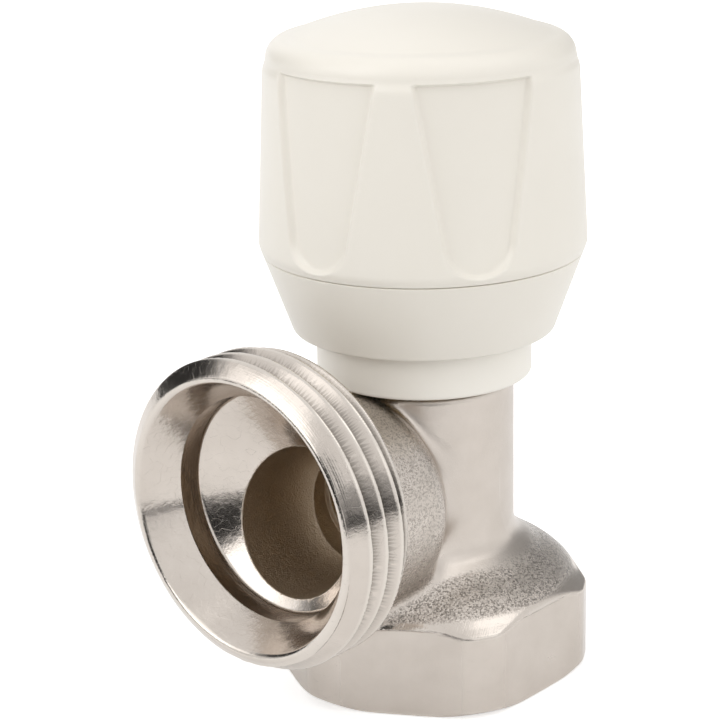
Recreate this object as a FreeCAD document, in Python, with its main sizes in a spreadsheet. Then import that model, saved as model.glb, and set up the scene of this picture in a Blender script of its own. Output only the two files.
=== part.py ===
"""Manual angle radiator valve, 3/4 inch, with a rising spindle and a two-piece plastic handwheel.

Frame in millimetres: +Z runs up the spindle, the origin is the centre of the inlet face under the foot, and
the outlet points along +X. The valve is drawn closed.
"""
import math
import os
import re

import FreeCAD
import Part
import Sketcher

SIZES = (
    ("hex_width", 32.8, "foot, across the flats"),
    ("corner_rise", 1.5, "foot, how far the turned corners stand beyond the flats"),
    ("hex_height", 9.4, "foot, height of the corners' flank"),
    ("foot_bevel", 1.25, "foot, width of its lower chamfer"),
    ("foot_chamfer", 0.75, "foot, height of its lower chamfer"),
    ("corner_bevel", 1.55, "foot, width of the chamfer on top of the corners"),
    ("corner_slant", 1.2, "foot, height of the chamfer on top of the corners"),
    ("shoulder_rise", 2.9, "shoulder, height of its back"),
    ("shoulder_swell", 0.5, "shoulder, how far its back is bowed"),
    ("root_round", 1.15, "round between shoulder and neck"),
    ("neck_wall", 1.9, "neck, wall round the bonnet's thread"),
    ("neck_rise", 2.7, "neck, height above the throat"),
    ("neck_chamfer", 0.85, "neck, chamfer at its top"),
    ("outlet_height", 25.25, "outlet thread, height of its axis"),
    ("outlet_reach", 29.85, "outlet lip, distance from the spindle"),
    ("outlet_dia", 33.25, "outlet thread, major diameter, G 1"),
    ("outlet_length", 8.8, "outlet thread, from the lip back"),
    ("outlet_depth", 1.479, "outlet thread, depth"),
    ("web_dia", 17.2, "web behind the outlet thread, small end"),
    ("web_length", 2.3, "web behind the outlet thread, length"),
    ("lip_wall", 2.13, "outlet lip, wall inside the thread's major diameter"),
    ("lip_land", 0.25, "outlet lip, width of its flat"),
    ("lip_chamfer", 1.2, "outlet lip, length of its outer chamfer"),
    ("cone_depth", 4.0, "outlet cone seat, depth"),
    ("cone_step", 2.5, "outlet cone seat, how far it narrows at the radius"),
    ("recess_depth", 2.65, "outlet recess behind the cone seat, depth"),
    ("drill_slope", 0.6, "drilled ends, depth for each unit of radius"),
    ("passage_drop", 3.05, "forged passage, how far it lies below the outlet axis"),
    ("passage_dia", 15.5, "forged passage, bore"),
    ("passage_end", 10.5, "forged passage, distance of its end wall from the spindle"),
    ("passage_round", 5.5, "forged passage, round at its end"),
    ("barrel_dia", 23.3, "outlet barrel"),
    ("barrel_back", 9.0, "outlet barrel, distance of its rear end"),
    ("barrel_round", 2.5, "outlet barrel, length of its rounded rear end"),
    ("throat_wall", 1.35, "throat between barrel and neck, wall round the passage"),
    ("window_dia", 10.4, "opening from the passage to the chamber"),
    ("window_drop", 0.8, "opening, how far it lies below the passage's axis"),
    ("inlet_dia", 24.12, "inlet thread, minor diameter, G 3/4"),
    ("inlet_depth", 10.4, "inlet thread, depth"),
    ("seat_dia", 10.4, "valve seat, bore"),
    ("seat_height", 16.1, "valve seat, top"),
    ("seat_ring_width", 1.35, "valve seat, width of its raised ring"),
    ("seat_ring_height", 0.75, "valve seat, height of its raised ring"),
    ("plug_gap", 0.55, "valve chamber, gap round the plug"),
    ("chamber_step", 0.75, "bonnet thread, how far it stands outside the chamber"),
    ("bonnet_room", 1.75, "bonnet, room above the open plug"),
    ("bonnet_gasket", 0.55, "gasket under the bonnet, thickness"),
    ("bonnet_hex", 18.0, "bonnet, across the flats"),
    ("bonnet_relief", 1.05, "bonnet, how far the turned corners stand beyond the flats"),
    ("bonnet_flange", 1.4, "bonnet, thickness of the round flange"),
    ("bonnet_hex_height", 4.75, "bonnet, height of the hexagon"),
    ("gland_dia", 13.1, "bonnet, outside of the gland"),
    ("gland_height", 6.6, "bonnet, height of the gland above the hexagon"),
    ("gland_depth", 7.4, "bonnet, depth of the stem's bore"),
    ("spindle_thread", 8.7, "spindle thread, major diameter"),
    ("thread_inset", 1.25, "spindle thread, start above the bonnet's lower end, closed"),
    ("spindle_lift", 3.5, "travel of the spindle"),
    ("stop_gap", 0.25, "gap left at the upper stop"),
    ("stem_dia", 6.6, "spindle, stem in the gland"),
    ("shaft_dia", 6.8, "spindle, shaft below the thread"),
    ("pin_dia", 3.8, "spindle, pin that carries the plug"),
    ("pin_tail", 0.75, "spindle, pin below the clip"),
    ("ring_section", 0.95, "stem rings, section"),
    ("ring_offset", 1.35, "stem rings, lower ring above the stop shoulder"),
    ("ring_pitch", 2.25, "stem rings, distance between the two"),
    ("drive_width", 4.75, "spindle, square for the handwheel"),
    ("drive_gap", 0.95, "handwheel carrier, gap above the gland, closed"),
    ("drive_length", 8.35, "spindle, length of the square"),
    ("closing_gap", 0.1, "plug gasket above the seat, closed"),
    ("plug_thick", 2.85, "plug, thickness of its disc"),
    ("plug_rim", 0.45, "plug, wall round the gasket"),
    ("plug_rim_depth", 1.15, "plug, depth of that wall"),
    ("plug_boss", 6.05, "plug, boss through the gasket"),
    ("plug_gasket", 2.35, "plug gasket, thickness"),
    ("washer_dia", 8.15, "plug washer"),
    ("washer_thick", 0.75, "plug washer, thickness"),
    ("clip_dia", 6.05, "plug clip, outside"),
    ("clip_seat", 2.75, "plug clip, groove in the pin"),
    ("clip_thick", 0.55, "plug clip, thickness"),
    ("clip_gap", 1.7, "plug clip, opening"),
    ("collar_fit", 0.5, "collar, gap round the bonnet's corners"),
    ("collar_wall", 1.15, "collar, wall"),
    ("collar_web", 1.15, "collar, web that sits on the bonnet"),
    ("collar_short", 0.95, "collar, how far it ends below the gland's top"),
    ("collar_round", 0.45, "collar, round on its lower edge"),
    ("skirt_height", 9.0, "handwheel, height of the skirt"),
    ("mouth_gap", 0.4, "handwheel, gap of its mouth round the collar"),
    ("mouth_lip", 0.5, "handwheel, flat round the mouth"),
    ("skirt_ledge", 1.6, "handwheel, width of the bevel under the skirt"),
    ("skirt_bevel", 0.45, "handwheel, height of the bevel under the skirt"),
    ("grip_wide_dia", 35.25, "handwheel, widest ring"),
    ("flare_rise", 0.95, "handwheel, widest ring above the joint"),
    ("joint_drop", 0.55, "handwheel, joint between its two mouldings below the web"),
    ("grip_wall", 1.7, "handwheel, wall"),
    ("carrier_web", 1.9, "handwheel carrier, web"),
    ("carrier_drop", 3.3, "handwheel carrier, how far its ring hangs below the web"),
    ("ring_gap", 0.8, "handwheel carrier, gap of its hanging ring round the collar"),
    ("spigot_step", 2.85, "handwheel carrier, spigot in the cap inside the widest ring"),
    ("hub_dia", 11.4, "handwheel carrier, hub"),
    ("hub_roof", 1.15, "handwheel carrier, thickness under the screw"),
    ("pad_draft", 1.0, "handwheel cap, how far the grip pads lean in"),
    ("pad_height", 18.75, "handwheel cap, height of the grip pads"),
    ("pad_proud", 0.25, "handwheel cap, how far the pads stand out of the band"),
    ("pad_bevel", 0.6, "handwheel cap, height of the bevel on top of the pads"),
    ("band_draft", 0.1, "handwheel cap, how far the band leans in"),
    ("band_rise", 0.45, "handwheel cap, height of the band"),
    ("crown_round", 2.2, "handwheel cap, round between band and dome"),
    ("dome_rise", 5.0, "handwheel cap, height of the dome and its round"),
    ("scallop_depth", 0.65, "handwheel cap, depth of the scallops at the lower end"),
    ("scallop_ledge", 0.45, "handwheel cap, how far the band overhangs the scallops' floor"),
    ("scallop_reach", 0.1, "handwheel cap, how far the scallops reach below the widest ring"),
    ("scallop_turn", 3.4, "handwheel cap, height of the scallops' round end"),
    ("scallop_wide", 44.4, "handwheel cap, angle that a scallop spans at its top"),
    ("scallop_narrow", 24.8, "handwheel cap, angle that a scallop spans above its round end"),
    ("rib_angle", 30.6, "handwheel cap, direction of the narrow rib"),
    ("scallop_step", 29.2, "handwheel cap, angle from the narrow rib to a scallop's middle"),
    ("screw_dia", 2.75, "handwheel screw, shank"),
    ("screw_length", 8.5, "handwheel screw, length below its head"),
    ("screw_head", 5.2, "handwheel screw, head"),
    ("screw_head_height", 1.9, "handwheel screw, height of its head"),
    ("screw_slot", 0.95, "handwheel screw, slot"),
    ("running_fit", 0.05, "clearance at the radius of pieces that turn or slide"),
    ("seated_fit", 0.05, "clearance at the radius of pieces that are screwed or pressed together"),
    ("axial_play", 0.15, "play of the plug along the spindle's pin"),
)

# Sizes and heights that follow others.
TIED = (
    ("corner_dia", "hex_width + 2 * corner_rise", "foot, over the turned corners"),
    ("foot_dia", "corner_dia - 2 * foot_bevel", "foot, land that it stands on"),
    ("shoulder_dia", "corner_dia - 2 * corner_bevel", "shoulder, lower edge"),
    ("shoulder_height", "hex_height + corner_slant", "shoulder, height of its lower edge"),
    ("shoulder_top", "shoulder_height + shoulder_rise", "shoulder, height at the neck"),
    ("seat_ring_dia", "seat_dia + 2 * seat_ring_width", "valve seat, outside of its raised ring"),
    ("plug_dia", "seat_ring_dia", "plug"),
    ("chamber_dia", "plug_dia + 2 * plug_gap", "valve chamber"),
    ("bonnet_dia", "chamber_dia + 2 * chamber_step", "bonnet thread"),
    ("neck_dia", "bonnet_dia + 2 * neck_wall", "neck"),
    ("throat_dia", "passage_dia + 2 * throat_wall", "throat between barrel and neck"),
    ("forged_height", "outlet_height - passage_drop",
     "forged passage, barrel and throat, height of their axis"),
    ("window_height", "forged_height - window_drop", "opening, height of its axis"),
    ("neck_height", "forged_height + throat_dia / 2 + neck_rise", "neck, top face"),
    ("lip_dia", "outlet_dia - 2 * lip_wall", "outlet lip, inner edge"),
    ("cone_dia", "lip_dia - 2 * cone_step", "outlet cone seat, small end"),
    ("gasket_low", "seat_height + closing_gap", "plug gasket, lower face"),
    ("gasket_top", "gasket_low + plug_gasket", "plug gasket, upper face"),
    ("plug_top", "gasket_top + plug_thick", "plug, top"),
    ("washer_low", "gasket_low - washer_thick", "plug washer, lower face"),
    ("clip_top", "washer_low - axial_play", "plug clip, upper face"),
    ("clip_low", "clip_top - clip_thick", "plug clip, lower face"),
    ("bonnet_bottom", "plug_top + spindle_lift + bonnet_room", "bonnet, lower end"),
    ("thread_bottom", "bonnet_bottom + thread_inset", "spindle thread, lower end, closed"),
    ("flange_low", "neck_height + bonnet_gasket", "bonnet, underside of the flange"),
    ("hex_low", "flange_low + bonnet_flange", "bonnet, underside of the hexagon"),
    ("hex_top", "hex_low + bonnet_hex_height", "bonnet, top of the hexagon"),
    ("gland_top", "hex_top + gland_height", "bonnet, top of the gland"),
    ("stop_height", "gland_top - gland_depth", "bonnet, shoulder that stops the spindle"),
    ("thread_top", "stop_height - spindle_lift - stop_gap", "spindle thread, upper end, closed"),
    ("bonnet_corner", "bonnet_hex + 2 * bonnet_relief", "bonnet, over the turned corners"),
    ("collar_inside", "bonnet_corner + 2 * collar_fit", "collar, inside"),
    ("collar_dia", "collar_inside + 2 * collar_wall", "collar"),
    ("collar_top", "gland_top - collar_short", "collar, top"),
    ("drive_bottom", "gland_top + drive_gap", "spindle, lower end of the square"),
    ("drive_top", "drive_bottom + drive_length", "spindle, upper end of the square"),
    ("hub_top", "drive_top + seated_fit + hub_roof", "handwheel carrier, top of the hub"),
    ("mouth_dia", "collar_dia + 2 * mouth_gap", "handwheel, mouth round the collar"),
    ("skirt_dia", "mouth_dia + 2 * (mouth_lip + skirt_ledge)", "handwheel, lower end of the skirt's cone"),
    ("carrier_ring", "collar_dia + 2 * ring_gap", "handwheel carrier, inside of its hanging ring"),
    ("carrier_spigot", "grip_wide_dia - 2 * spigot_step", "handwheel carrier, spigot in the cap"),
    ("grip_split", "drive_bottom - joint_drop", "handwheel, joint between its two mouldings"),
    ("grip_bottom", "grip_split - skirt_height", "handwheel, lower edge"),
    ("skirt_low", "grip_bottom + skirt_bevel", "handwheel, lower end of the skirt's cone, height"),
    ("grip_wide_height", "grip_split + flare_rise", "handwheel, widest ring, height"),
    ("skirt_flare", "(grip_wide_dia - skirt_dia) / 2 / (grip_wide_height - skirt_low)",
     "handwheel, slope of the skirt's cone"),
    ("split_radius", "grip_wide_dia / 2 - skirt_flare * flare_rise", "handwheel, radius at the joint"),
    ("pad_top_dia", "grip_wide_dia - 2 * pad_draft", "handwheel cap, upper end of the grip pads"),
    ("pad_top_height", "grip_wide_height + pad_height", "handwheel cap, height of that end"),
    ("band_dia", "pad_top_dia - 2 * pad_proud", "handwheel cap, band above the pads"),
    ("band_height", "pad_top_height + pad_bevel", "handwheel cap, lower edge of the band"),
    ("crown_dia", "band_dia - 2 * band_draft", "handwheel cap, upper edge of the band"),
    ("crown_height", "band_height + band_rise", "handwheel cap, height of that edge"),
    ("dome_height", "crown_height + dome_rise", "handwheel cap, top"),
    ("scallop_floor", "grip_wide_dia - 2 * scallop_depth", "handwheel cap, floor of the scallops, low"),
    ("scallop_low", "grip_wide_height - scallop_reach", "handwheel cap, lowest point of the scallops"),
)

# Share of a quarter round's radius that lies between the middle of the round and its square corner.
BOW = "(1 - cos(45))"

# Marks an arc whose centre lies on the upright axis.
DOMED = "domed"

doc = FreeCAD.newDocument("radiator_valve")
sheet = doc.addObject("Spreadsheet::Sheet", "Sizes")
for row, (alias, size, meaning) in enumerate(SIZES + TIED, start=1):
    sheet.set(f"A{row}", meaning)
    sheet.setAlias(f"B{row}", alias)
    sheet.set(f"B{row}", f"={size}")
doc.recompute()

ALIAS = re.compile(r"\b(" + "|".join(alias for alias, size, meaning in SIZES + TIED) + r")\b")


def sized(text):
    """An expression in which each size is read from the sheet."""
    return ALIAS.sub(r"Sizes.\1", text)


def value(text):
    """The number that an expression stands for now."""
    return float(sheet.evalExpression(sized(text)))


def new_body(label):
    """An empty body with its label."""
    body = doc.addObject("PartDesign::Body", label)
    body.Label = label
    return body


def new_sketch(body, name, plane, lift="0"):
    """A sketch on one of the body's own planes, with its origin lifted along the sketch's upright."""
    sketch = body.newObject("Sketcher::SketchObject", name)
    support = next(item for item in body.Origin.OriginFeatures if item.Role == plane)
    sketch.AttachmentSupport = [(support, "")]
    sketch.MapMode = "FlatFace"
    if lift != "0":
        sketch.setExpression("AttachmentOffset.Base.y", sized(lift))
    return sketch


def pin_point(sketch, geometry, position, place):
    """Ties a point of a sketch to the expressions of its place, or to an axis where a coordinate is 0."""
    for text, kind, axis in ((place[0], "DistanceX", -2), (place[1], "DistanceY", -1)):
        if text == "0":
            sketch.addConstraint(Sketcher.Constraint("PointOnObject", geometry, position, axis))
        else:
            index = sketch.addConstraint(Sketcher.Constraint(kind, -1, 1, geometry, position, value(text)))
            sketch.setExpression(f"Constraints[{index}]", sized(text))


def dome_middle(start, end):
    """The middle of the arc between two points whose centre lies on the upright axis."""
    centre = FreeCAD.Vector(0, (end.dot(end) - start.dot(start)) / (2 * (end.y - start.y)), 0)
    radius = start.distanceToPoint(centre)
    return centre + ((start - centre) + (end - centre)).normalize() * radius


def draw_arc(sketch, start, end, bend):
    """Draws an arc and gives its number with its first and last points, in the order of the outline."""
    domed = bend == DOMED
    middle = dome_middle(start, end) if domed else FreeCAD.Vector(value(bend[0]), value(bend[1]), 0)
    arc = sketch.addGeometry(Part.Arc(start, middle, end), False)
    if domed:
        sketch.addConstraint(Sketcher.Constraint("PointOnObject", arc, 3, -2))
    else:
        bow = sketch.addGeometry(Part.Point(middle), True)
        sketch.addConstraint(Sketcher.Constraint("PointOnObject", bow, 1, arc))
        pin_point(sketch, bow, 1, bend)
    nearer = min((1, 2), key=lambda point: sketch.getPoint(arc, point).distanceToPoint(start))
    return (arc, 1, 2) if nearer == 1 else (arc, 2, 1)


def draw_loop(sketch, corners):
    """Draws a closed outline.

    A corner is a pair of expressions. A third item makes the edge to the next corner an arc: a pair of
    expressions is a point that the arc passes through, and DOMED centres it on the sketch's upright axis.
    """
    points = [FreeCAD.Vector(value(corner[0]), value(corner[1]), 0) for corner in corners]
    edges = []
    for number, corner in enumerate(corners):
        start = points[number]
        end = points[(number + 1) % len(points)]
        if len(corner) == 3:
            edges.append(draw_arc(sketch, start, end, corner[2]))
        else:
            edges.append((sketch.addGeometry(Part.LineSegment(start, end), False), 1, 2))
    for number, (edge, first, last) in enumerate(edges):
        following, its_first, _ = edges[(number + 1) % len(edges)]
        sketch.addConstraint(Sketcher.Constraint("Coincident", edge, last, following, its_first))
        pin_point(sketch, edge, first, corners[number])


def turn(body, name, corners, about="V_Axis", lift="0", cut=False):
    """Turns an outline in the XZ plane about the sketch's upright or level axis, to add or cut material."""
    sketch = new_sketch(body, name + "_outline", "XZ_Plane", lift)
    draw_loop(sketch, corners)
    feature = body.newObject("PartDesign::Groove" if cut else "PartDesign::Revolution", name)
    feature.Profile = sketch
    feature.ReferenceAxis = (sketch, [about])
    feature.Angle = 360
    doc.recompute()
    return feature


def mill(body, name, loops, low, depth):
    """Cuts upwards from a height, over the area that the loops enclose."""
    sketch = new_sketch(body, name + "_outline", "XY_Plane")
    if low != "0":
        sketch.setExpression("AttachmentOffset.Base.z", sized(low))
    for corners in loops:
        draw_loop(sketch, corners)
    pocket = body.newObject("PartDesign::Pocket", name)
    pocket.Profile = sketch
    pocket.Reversed = True
    pocket.setExpression("Length", sized(depth))
    before = body.Shape.Volume
    doc.recompute()
    if not body.Shape.Volume < before:
        raise RuntimeError(f"{name} cuts nothing")
    return pocket


def polygon(sides, width, turned=0.0):
    """Corners of a regular polygon with the given width across its flats."""
    corners = []
    for number in range(sides):
        angle = turned + 360 / sides * number
        reach = f"{width} / 2 / cos({180 / sides})"
        level = math.isclose(math.sin(math.radians(angle)), 0, abs_tol=1e-9)
        upright = math.isclose(math.cos(math.radians(angle)), 0, abs_tol=1e-9)
        corners.append(("0" if upright else f"{reach} * cos({angle})",
                        "0" if level else f"{reach} * sin({angle})"))
    return corners


def square(half):
    """Corners of a square with the given half width."""
    return [(f"{x}{half}", f"{y}{half}") for x, y in (("", ""), ("-", ""), ("-", "-"), ("", "-"))]


def tube(label, inner, outer, low, high):
    """A plain ring, turned from a rectangle."""
    body = new_body(label)
    turn(body, label + "_ring", [(inner, low), (outer, low), (outer, high), (inner, high)])
    return body


def valve_body():
    """Forged body: hexagon foot, domed shoulder, neck and outlet, bored for inlet, seat and bonnet."""
    body = new_body("valve_body")
    neck = "neck_dia / 2"
    middle_x = f"({neck} + root_round + shoulder_dia / 2) / 2 + shoulder_swell"
    middle_z = "(shoulder_top + shoulder_height) / 2 + shoulder_swell"
    turn(body, "stand", [
        ("0", "0"),
        ("foot_dia / 2", "0"),
        ("corner_dia / 2", "foot_chamfer"),
        ("corner_dia / 2", "hex_height"),
        ("shoulder_dia / 2", "shoulder_height", (middle_x, middle_z)),
        (f"{neck} + root_round", "shoulder_top",
         (f"{neck} + {BOW} * root_round", f"shoulder_top + {BOW} * root_round")),
        (neck, "shoulder_top + root_round"),
        (neck, "neck_height - neck_chamfer"),
        (f"{neck} - neck_chamfer", "neck_height"),
        ("0", "neck_height"),
    ])
    mill(body, "foot_flats", [square("corner_dia"), polygon(6, "hex_width")], "0", "shoulder_height")

    turn(body, "barrel", [
        ("0", "0"),
        ("0", "throat_dia / 2"),
        ("barrel_back", "throat_dia / 2",
         (f"barrel_back + {BOW} * barrel_round", f"(barrel_dia - {BOW} * (barrel_dia - throat_dia)) / 2")),
        ("barrel_back + barrel_round", "barrel_dia / 2"),
        ("outlet_reach - outlet_length / 2", "barrel_dia / 2"),
        ("outlet_reach - outlet_length / 2", "0"),
    ], about="H_Axis", lift="forged_height")

    back = "(outlet_reach - outlet_length)"
    turn(body, "outlet", [
        (f"{back} - web_length", "0"),
        (f"{back} - web_length", "web_dia / 2"),
        (back, "outlet_dia / 2 - outlet_depth"),
        (f"{back} + outlet_depth", "outlet_dia / 2"),
        ("outlet_reach - lip_chamfer", "outlet_dia / 2"),
        ("outlet_reach", "lip_dia / 2 + lip_land"),
        ("outlet_reach", "0"),
    ], about="H_Axis", lift="outlet_height")

    seat_x = "(outlet_reach - cone_depth)"
    turn(body, "union_seat", [
        ("outlet_reach", "0"),
        ("outlet_reach", "lip_dia / 2"),
        (seat_x, "cone_dia / 2"),
        (f"{seat_x} - recess_depth", "cone_dia / 2"),
        (f"{seat_x} - recess_depth - drill_slope * cone_dia / 2", "0"),
    ], about="H_Axis", lift="outlet_height", cut=True)
    turn(body, "passage", [
        (seat_x, "0"),
        (seat_x, "passage_dia / 2"),
        ("passage_end + passage_round", "passage_dia / 2",
         (f"passage_end + {BOW} * passage_round", f"passage_dia / 2 - {BOW} * passage_round")),
        ("passage_end", "passage_dia / 2 - passage_round"),
        ("passage_end", "0"),
    ], about="H_Axis", lift="forged_height", cut=True)
    turn(body, "window", [
        ("0", "0"),
        ("0", "window_dia / 2"),
        ("passage_end + passage_round", "window_dia / 2"),
        ("passage_end + passage_round", "0"),
    ], about="H_Axis", lift="window_height", cut=True)

    floor = "(seat_height - seat_ring_height)"
    turn(body, "bores", [
        ("0", "0"),
        ("inlet_dia / 2", "0"),
        ("inlet_dia / 2", "inlet_depth"),
        ("seat_dia / 2", "inlet_depth + drill_slope * (inlet_dia - seat_dia) / 2"),
        ("seat_dia / 2", "seat_height"),
        ("seat_ring_dia / 2", "seat_height"),
        ("seat_ring_dia / 2", floor),
        ("chamber_dia / 2", floor),
        ("chamber_dia / 2", "bonnet_bottom"),
        ("bonnet_dia / 2", "bonnet_bottom"),
        ("bonnet_dia / 2", "neck_height"),
        ("0", "neck_height"),
    ], cut=True)
    return body


def bonnet():
    """Turned bonnet: screwed into the neck, with a hexagon, the spindle's thread and the gland."""
    body = new_body("bonnet")
    spigot = "bonnet_dia / 2 - seated_fit"
    turn(body, "bonnet_blank", [
        ("0", "bonnet_bottom"),
        (spigot, "bonnet_bottom"),
        (spigot, "flange_low"),
        ("bonnet_corner / 2", "flange_low"),
        ("bonnet_corner / 2", "hex_top"),
        ("gland_dia / 2", "hex_top"),
        ("gland_dia / 2", "gland_top"),
        ("0", "gland_top"),
    ])
    mill(body, "bonnet_flats", [square("bonnet_corner"), polygon(6, "bonnet_hex")],
         "hex_low", "bonnet_hex_height")
    turn(body, "bonnet_bores", [
        ("0", "bonnet_bottom"),
        ("spindle_thread / 2 + running_fit", "bonnet_bottom"),
        ("spindle_thread / 2 + running_fit", "stop_height"),
        ("stem_dia / 2 + running_fit", "stop_height"),
        ("stem_dia / 2 + running_fit", "gland_top"),
        ("0", "gland_top"),
    ], cut=True)
    return body


def collar():
    """Moulded collar: a sleeve round the bonnet, carried by a web on its hexagon."""
    body = new_body("collar")
    gland = "gland_dia / 2 + seated_fit"
    turn(body, "collar_sleeve", [
        (gland, "hex_top"),
        ("collar_inside / 2", "hex_top"),
        ("collar_inside / 2", "neck_height"),
        ("collar_dia / 2 - collar_round", "neck_height",
         (f"collar_dia / 2 - {BOW} * collar_round", f"neck_height + {BOW} * collar_round")),
        ("collar_dia / 2", "neck_height + collar_round"),
        ("collar_dia / 2", "collar_top"),
        ("collar_inside / 2", "collar_top"),
        ("collar_inside / 2", f"hex_top + collar_web"),
        (gland, f"hex_top + collar_web"),
    ])
    return body


def ring_height(number):
    """Height of a stem ring's middle, counted from the lower one."""
    return f"(stop_height + ring_offset + {number} * ring_pitch)"


def spindle():
    """Turned spindle: pin for the plug, thread, stem with two ring grooves and a square for the handwheel."""
    body = new_body("spindle")
    groove_floor = "stem_dia / 2 - running_fit - ring_section - seated_fit"
    grooves = []
    for number in range(2):
        low = f"{ring_height(number)} - ring_section / 2 - axial_play"
        high = f"{ring_height(number)} + ring_section / 2 + axial_play"
        grooves += [("stem_dia / 2", low), (groove_floor, low), (groove_floor, high), ("stem_dia / 2", high)]
    turn(body, "spindle_blank", [
        ("0", f"clip_low - pin_tail"),
        ("pin_dia / 2", f"clip_low - pin_tail"),
        ("pin_dia / 2", "clip_low"),
        ("clip_seat / 2", "clip_low"),
        ("clip_seat / 2", "clip_top"),
        ("pin_dia / 2", "clip_top"),
        ("pin_dia / 2", f"plug_top + axial_play"),
        ("shaft_dia / 2", f"plug_top + axial_play"),
        ("shaft_dia / 2", "thread_bottom"),
        ("spindle_thread / 2", "thread_bottom"),
        ("spindle_thread / 2", "thread_top"),
        ("stem_dia / 2", "thread_top"),
        *grooves,
        ("stem_dia / 2", "drive_top"),
        ("0", "drive_top"),
    ])
    mill(body, "spindle_square", [square("stem_dia"), polygon(4, "drive_width", 45)],
         "drive_bottom", "drive_length")
    shank = "screw_dia / 2 + seated_fit"
    turn(body, "spindle_hole", [
        ("0", f"hub_top - screw_length - axial_play"),
        (shank, f"hub_top - screw_length - axial_play"),
        (shank, "drive_top"),
        ("0", "drive_top"),
    ], cut=True)
    return body


def stem_ring(label, number):
    """Rubber ring in one of the stem's grooves."""
    ring = doc.addObject("Part::Torus", label)
    ring.Label = label
    ring.setExpression("Radius1", sized("stem_dia / 2 - running_fit - ring_section / 2"))
    ring.setExpression("Radius2", sized("ring_section / 2"))
    ring.setExpression("Placement.Base.z", sized(ring_height(number)))
    return ring


def plug():
    """Turned plug: a disc with a wall and a boss that hold the gasket."""
    body = new_body("plug")
    bore = "pin_dia / 2 + running_fit"
    turn(body, "plug_disc", [
        (bore, "gasket_low"),
        ("plug_boss / 2", "gasket_low"),
        ("plug_boss / 2", "gasket_top"),
        ("plug_dia / 2 - plug_rim", "gasket_top"),
        ("plug_dia / 2 - plug_rim", f"gasket_top - plug_rim_depth"),
        ("plug_dia / 2", f"gasket_top - plug_rim_depth"),
        ("plug_dia / 2", "plug_top"),
        (bore, "plug_top"),
    ])
    return body


def plug_clip():
    """Open spring clip in the groove of the spindle's pin."""
    body = tube("plug_clip", "clip_seat / 2 + seated_fit", "clip_dia / 2", "clip_low", "clip_top")
    half = "clip_gap / 2"
    gap = [("0", f"-{half}"), ("clip_dia", f"-{half}"), ("clip_dia", half), ("0", half)]
    mill(body, "plug_clip_opening", [gap], "clip_low", "clip_thick")
    return body


def handwheel_carrier():
    """Lower moulding of the handwheel: skirt, web and a hub on the spindle's square."""
    body = new_body("handwheel_carrier")
    shank = "screw_dia / 2 + running_fit"
    web_top = "(drive_bottom + carrier_web)"
    ring_low = "(drive_bottom - carrier_drop)"
    inner = f"grip_wide_dia / 2 - grip_wall - skirt_flare * (grip_wide_height - {ring_low})"
    turn(body, "carrier", [
        (shank, "drive_bottom"),
        ("carrier_ring / 2", "drive_bottom"),
        ("carrier_ring / 2", ring_low),
        (inner, ring_low),
        ("mouth_dia / 2", f"skirt_low + skirt_bevel"),
        ("mouth_dia / 2", "grip_bottom"),
        ("mouth_dia / 2 + mouth_lip", "grip_bottom"),
        ("skirt_dia / 2", "skirt_low"),
        ("split_radius", "grip_split"),
        ("carrier_spigot / 2", "grip_split"),
        ("carrier_spigot / 2", web_top),
        ("hub_dia / 2", web_top),
        ("hub_dia / 2", "hub_top"),
        (shank, "hub_top"),
    ])
    mill(body, "carrier_socket", [polygon(4, "(drive_width + 2 * seated_fit)", 45)], "drive_bottom",
         "drive_length + seated_fit")
    return body


def scallop(body, name, direction):
    """Cuts one scallop outwards from the axis, and its twin on the far side."""
    sketch = new_sketch(body, name + "_outline", "YZ_Plane")
    about_upright = FreeCAD.Rotation(FreeCAD.Vector(0, 1, 0), value(direction))
    sketch.AttachmentOffset = FreeCAD.Placement(FreeCAD.Vector(), about_upright)
    sketch.setExpression("AttachmentOffset.Rotation.Angle", sized(direction))
    wide = "band_dia / 2 * sin(scallop_wide / 2)"
    narrow = "grip_wide_dia / 2 * sin(scallop_narrow / 2)"
    draw_loop(sketch, [
        (wide, "band_height"),
        (f"-{wide}", "band_height"),
        (f"-{narrow}", "scallop_low + scallop_turn", ("0", "scallop_low")),
        (narrow, "scallop_low + scallop_turn"),
    ])
    pocket = body.newObject("PartDesign::Pocket", name)
    pocket.Profile = sketch
    pocket.Type = "ThroughAll"
    pocket.Reversed = True
    doc.recompute()
    twins = body.newObject("PartDesign::PolarPattern", name + "_pair")
    twins.Originals = [pocket]
    twins.Axis = (next(item for item in body.Origin.OriginFeatures if item.Role == "Z_Axis"), [""])
    twins.Angle = 360
    twins.Occurrences = 2
    body.Tip = twins
    before = body.Shape.Volume
    doc.recompute()
    if not body.Shape.Volume < before:
        raise RuntimeError(f"{name} has no twin")


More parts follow.
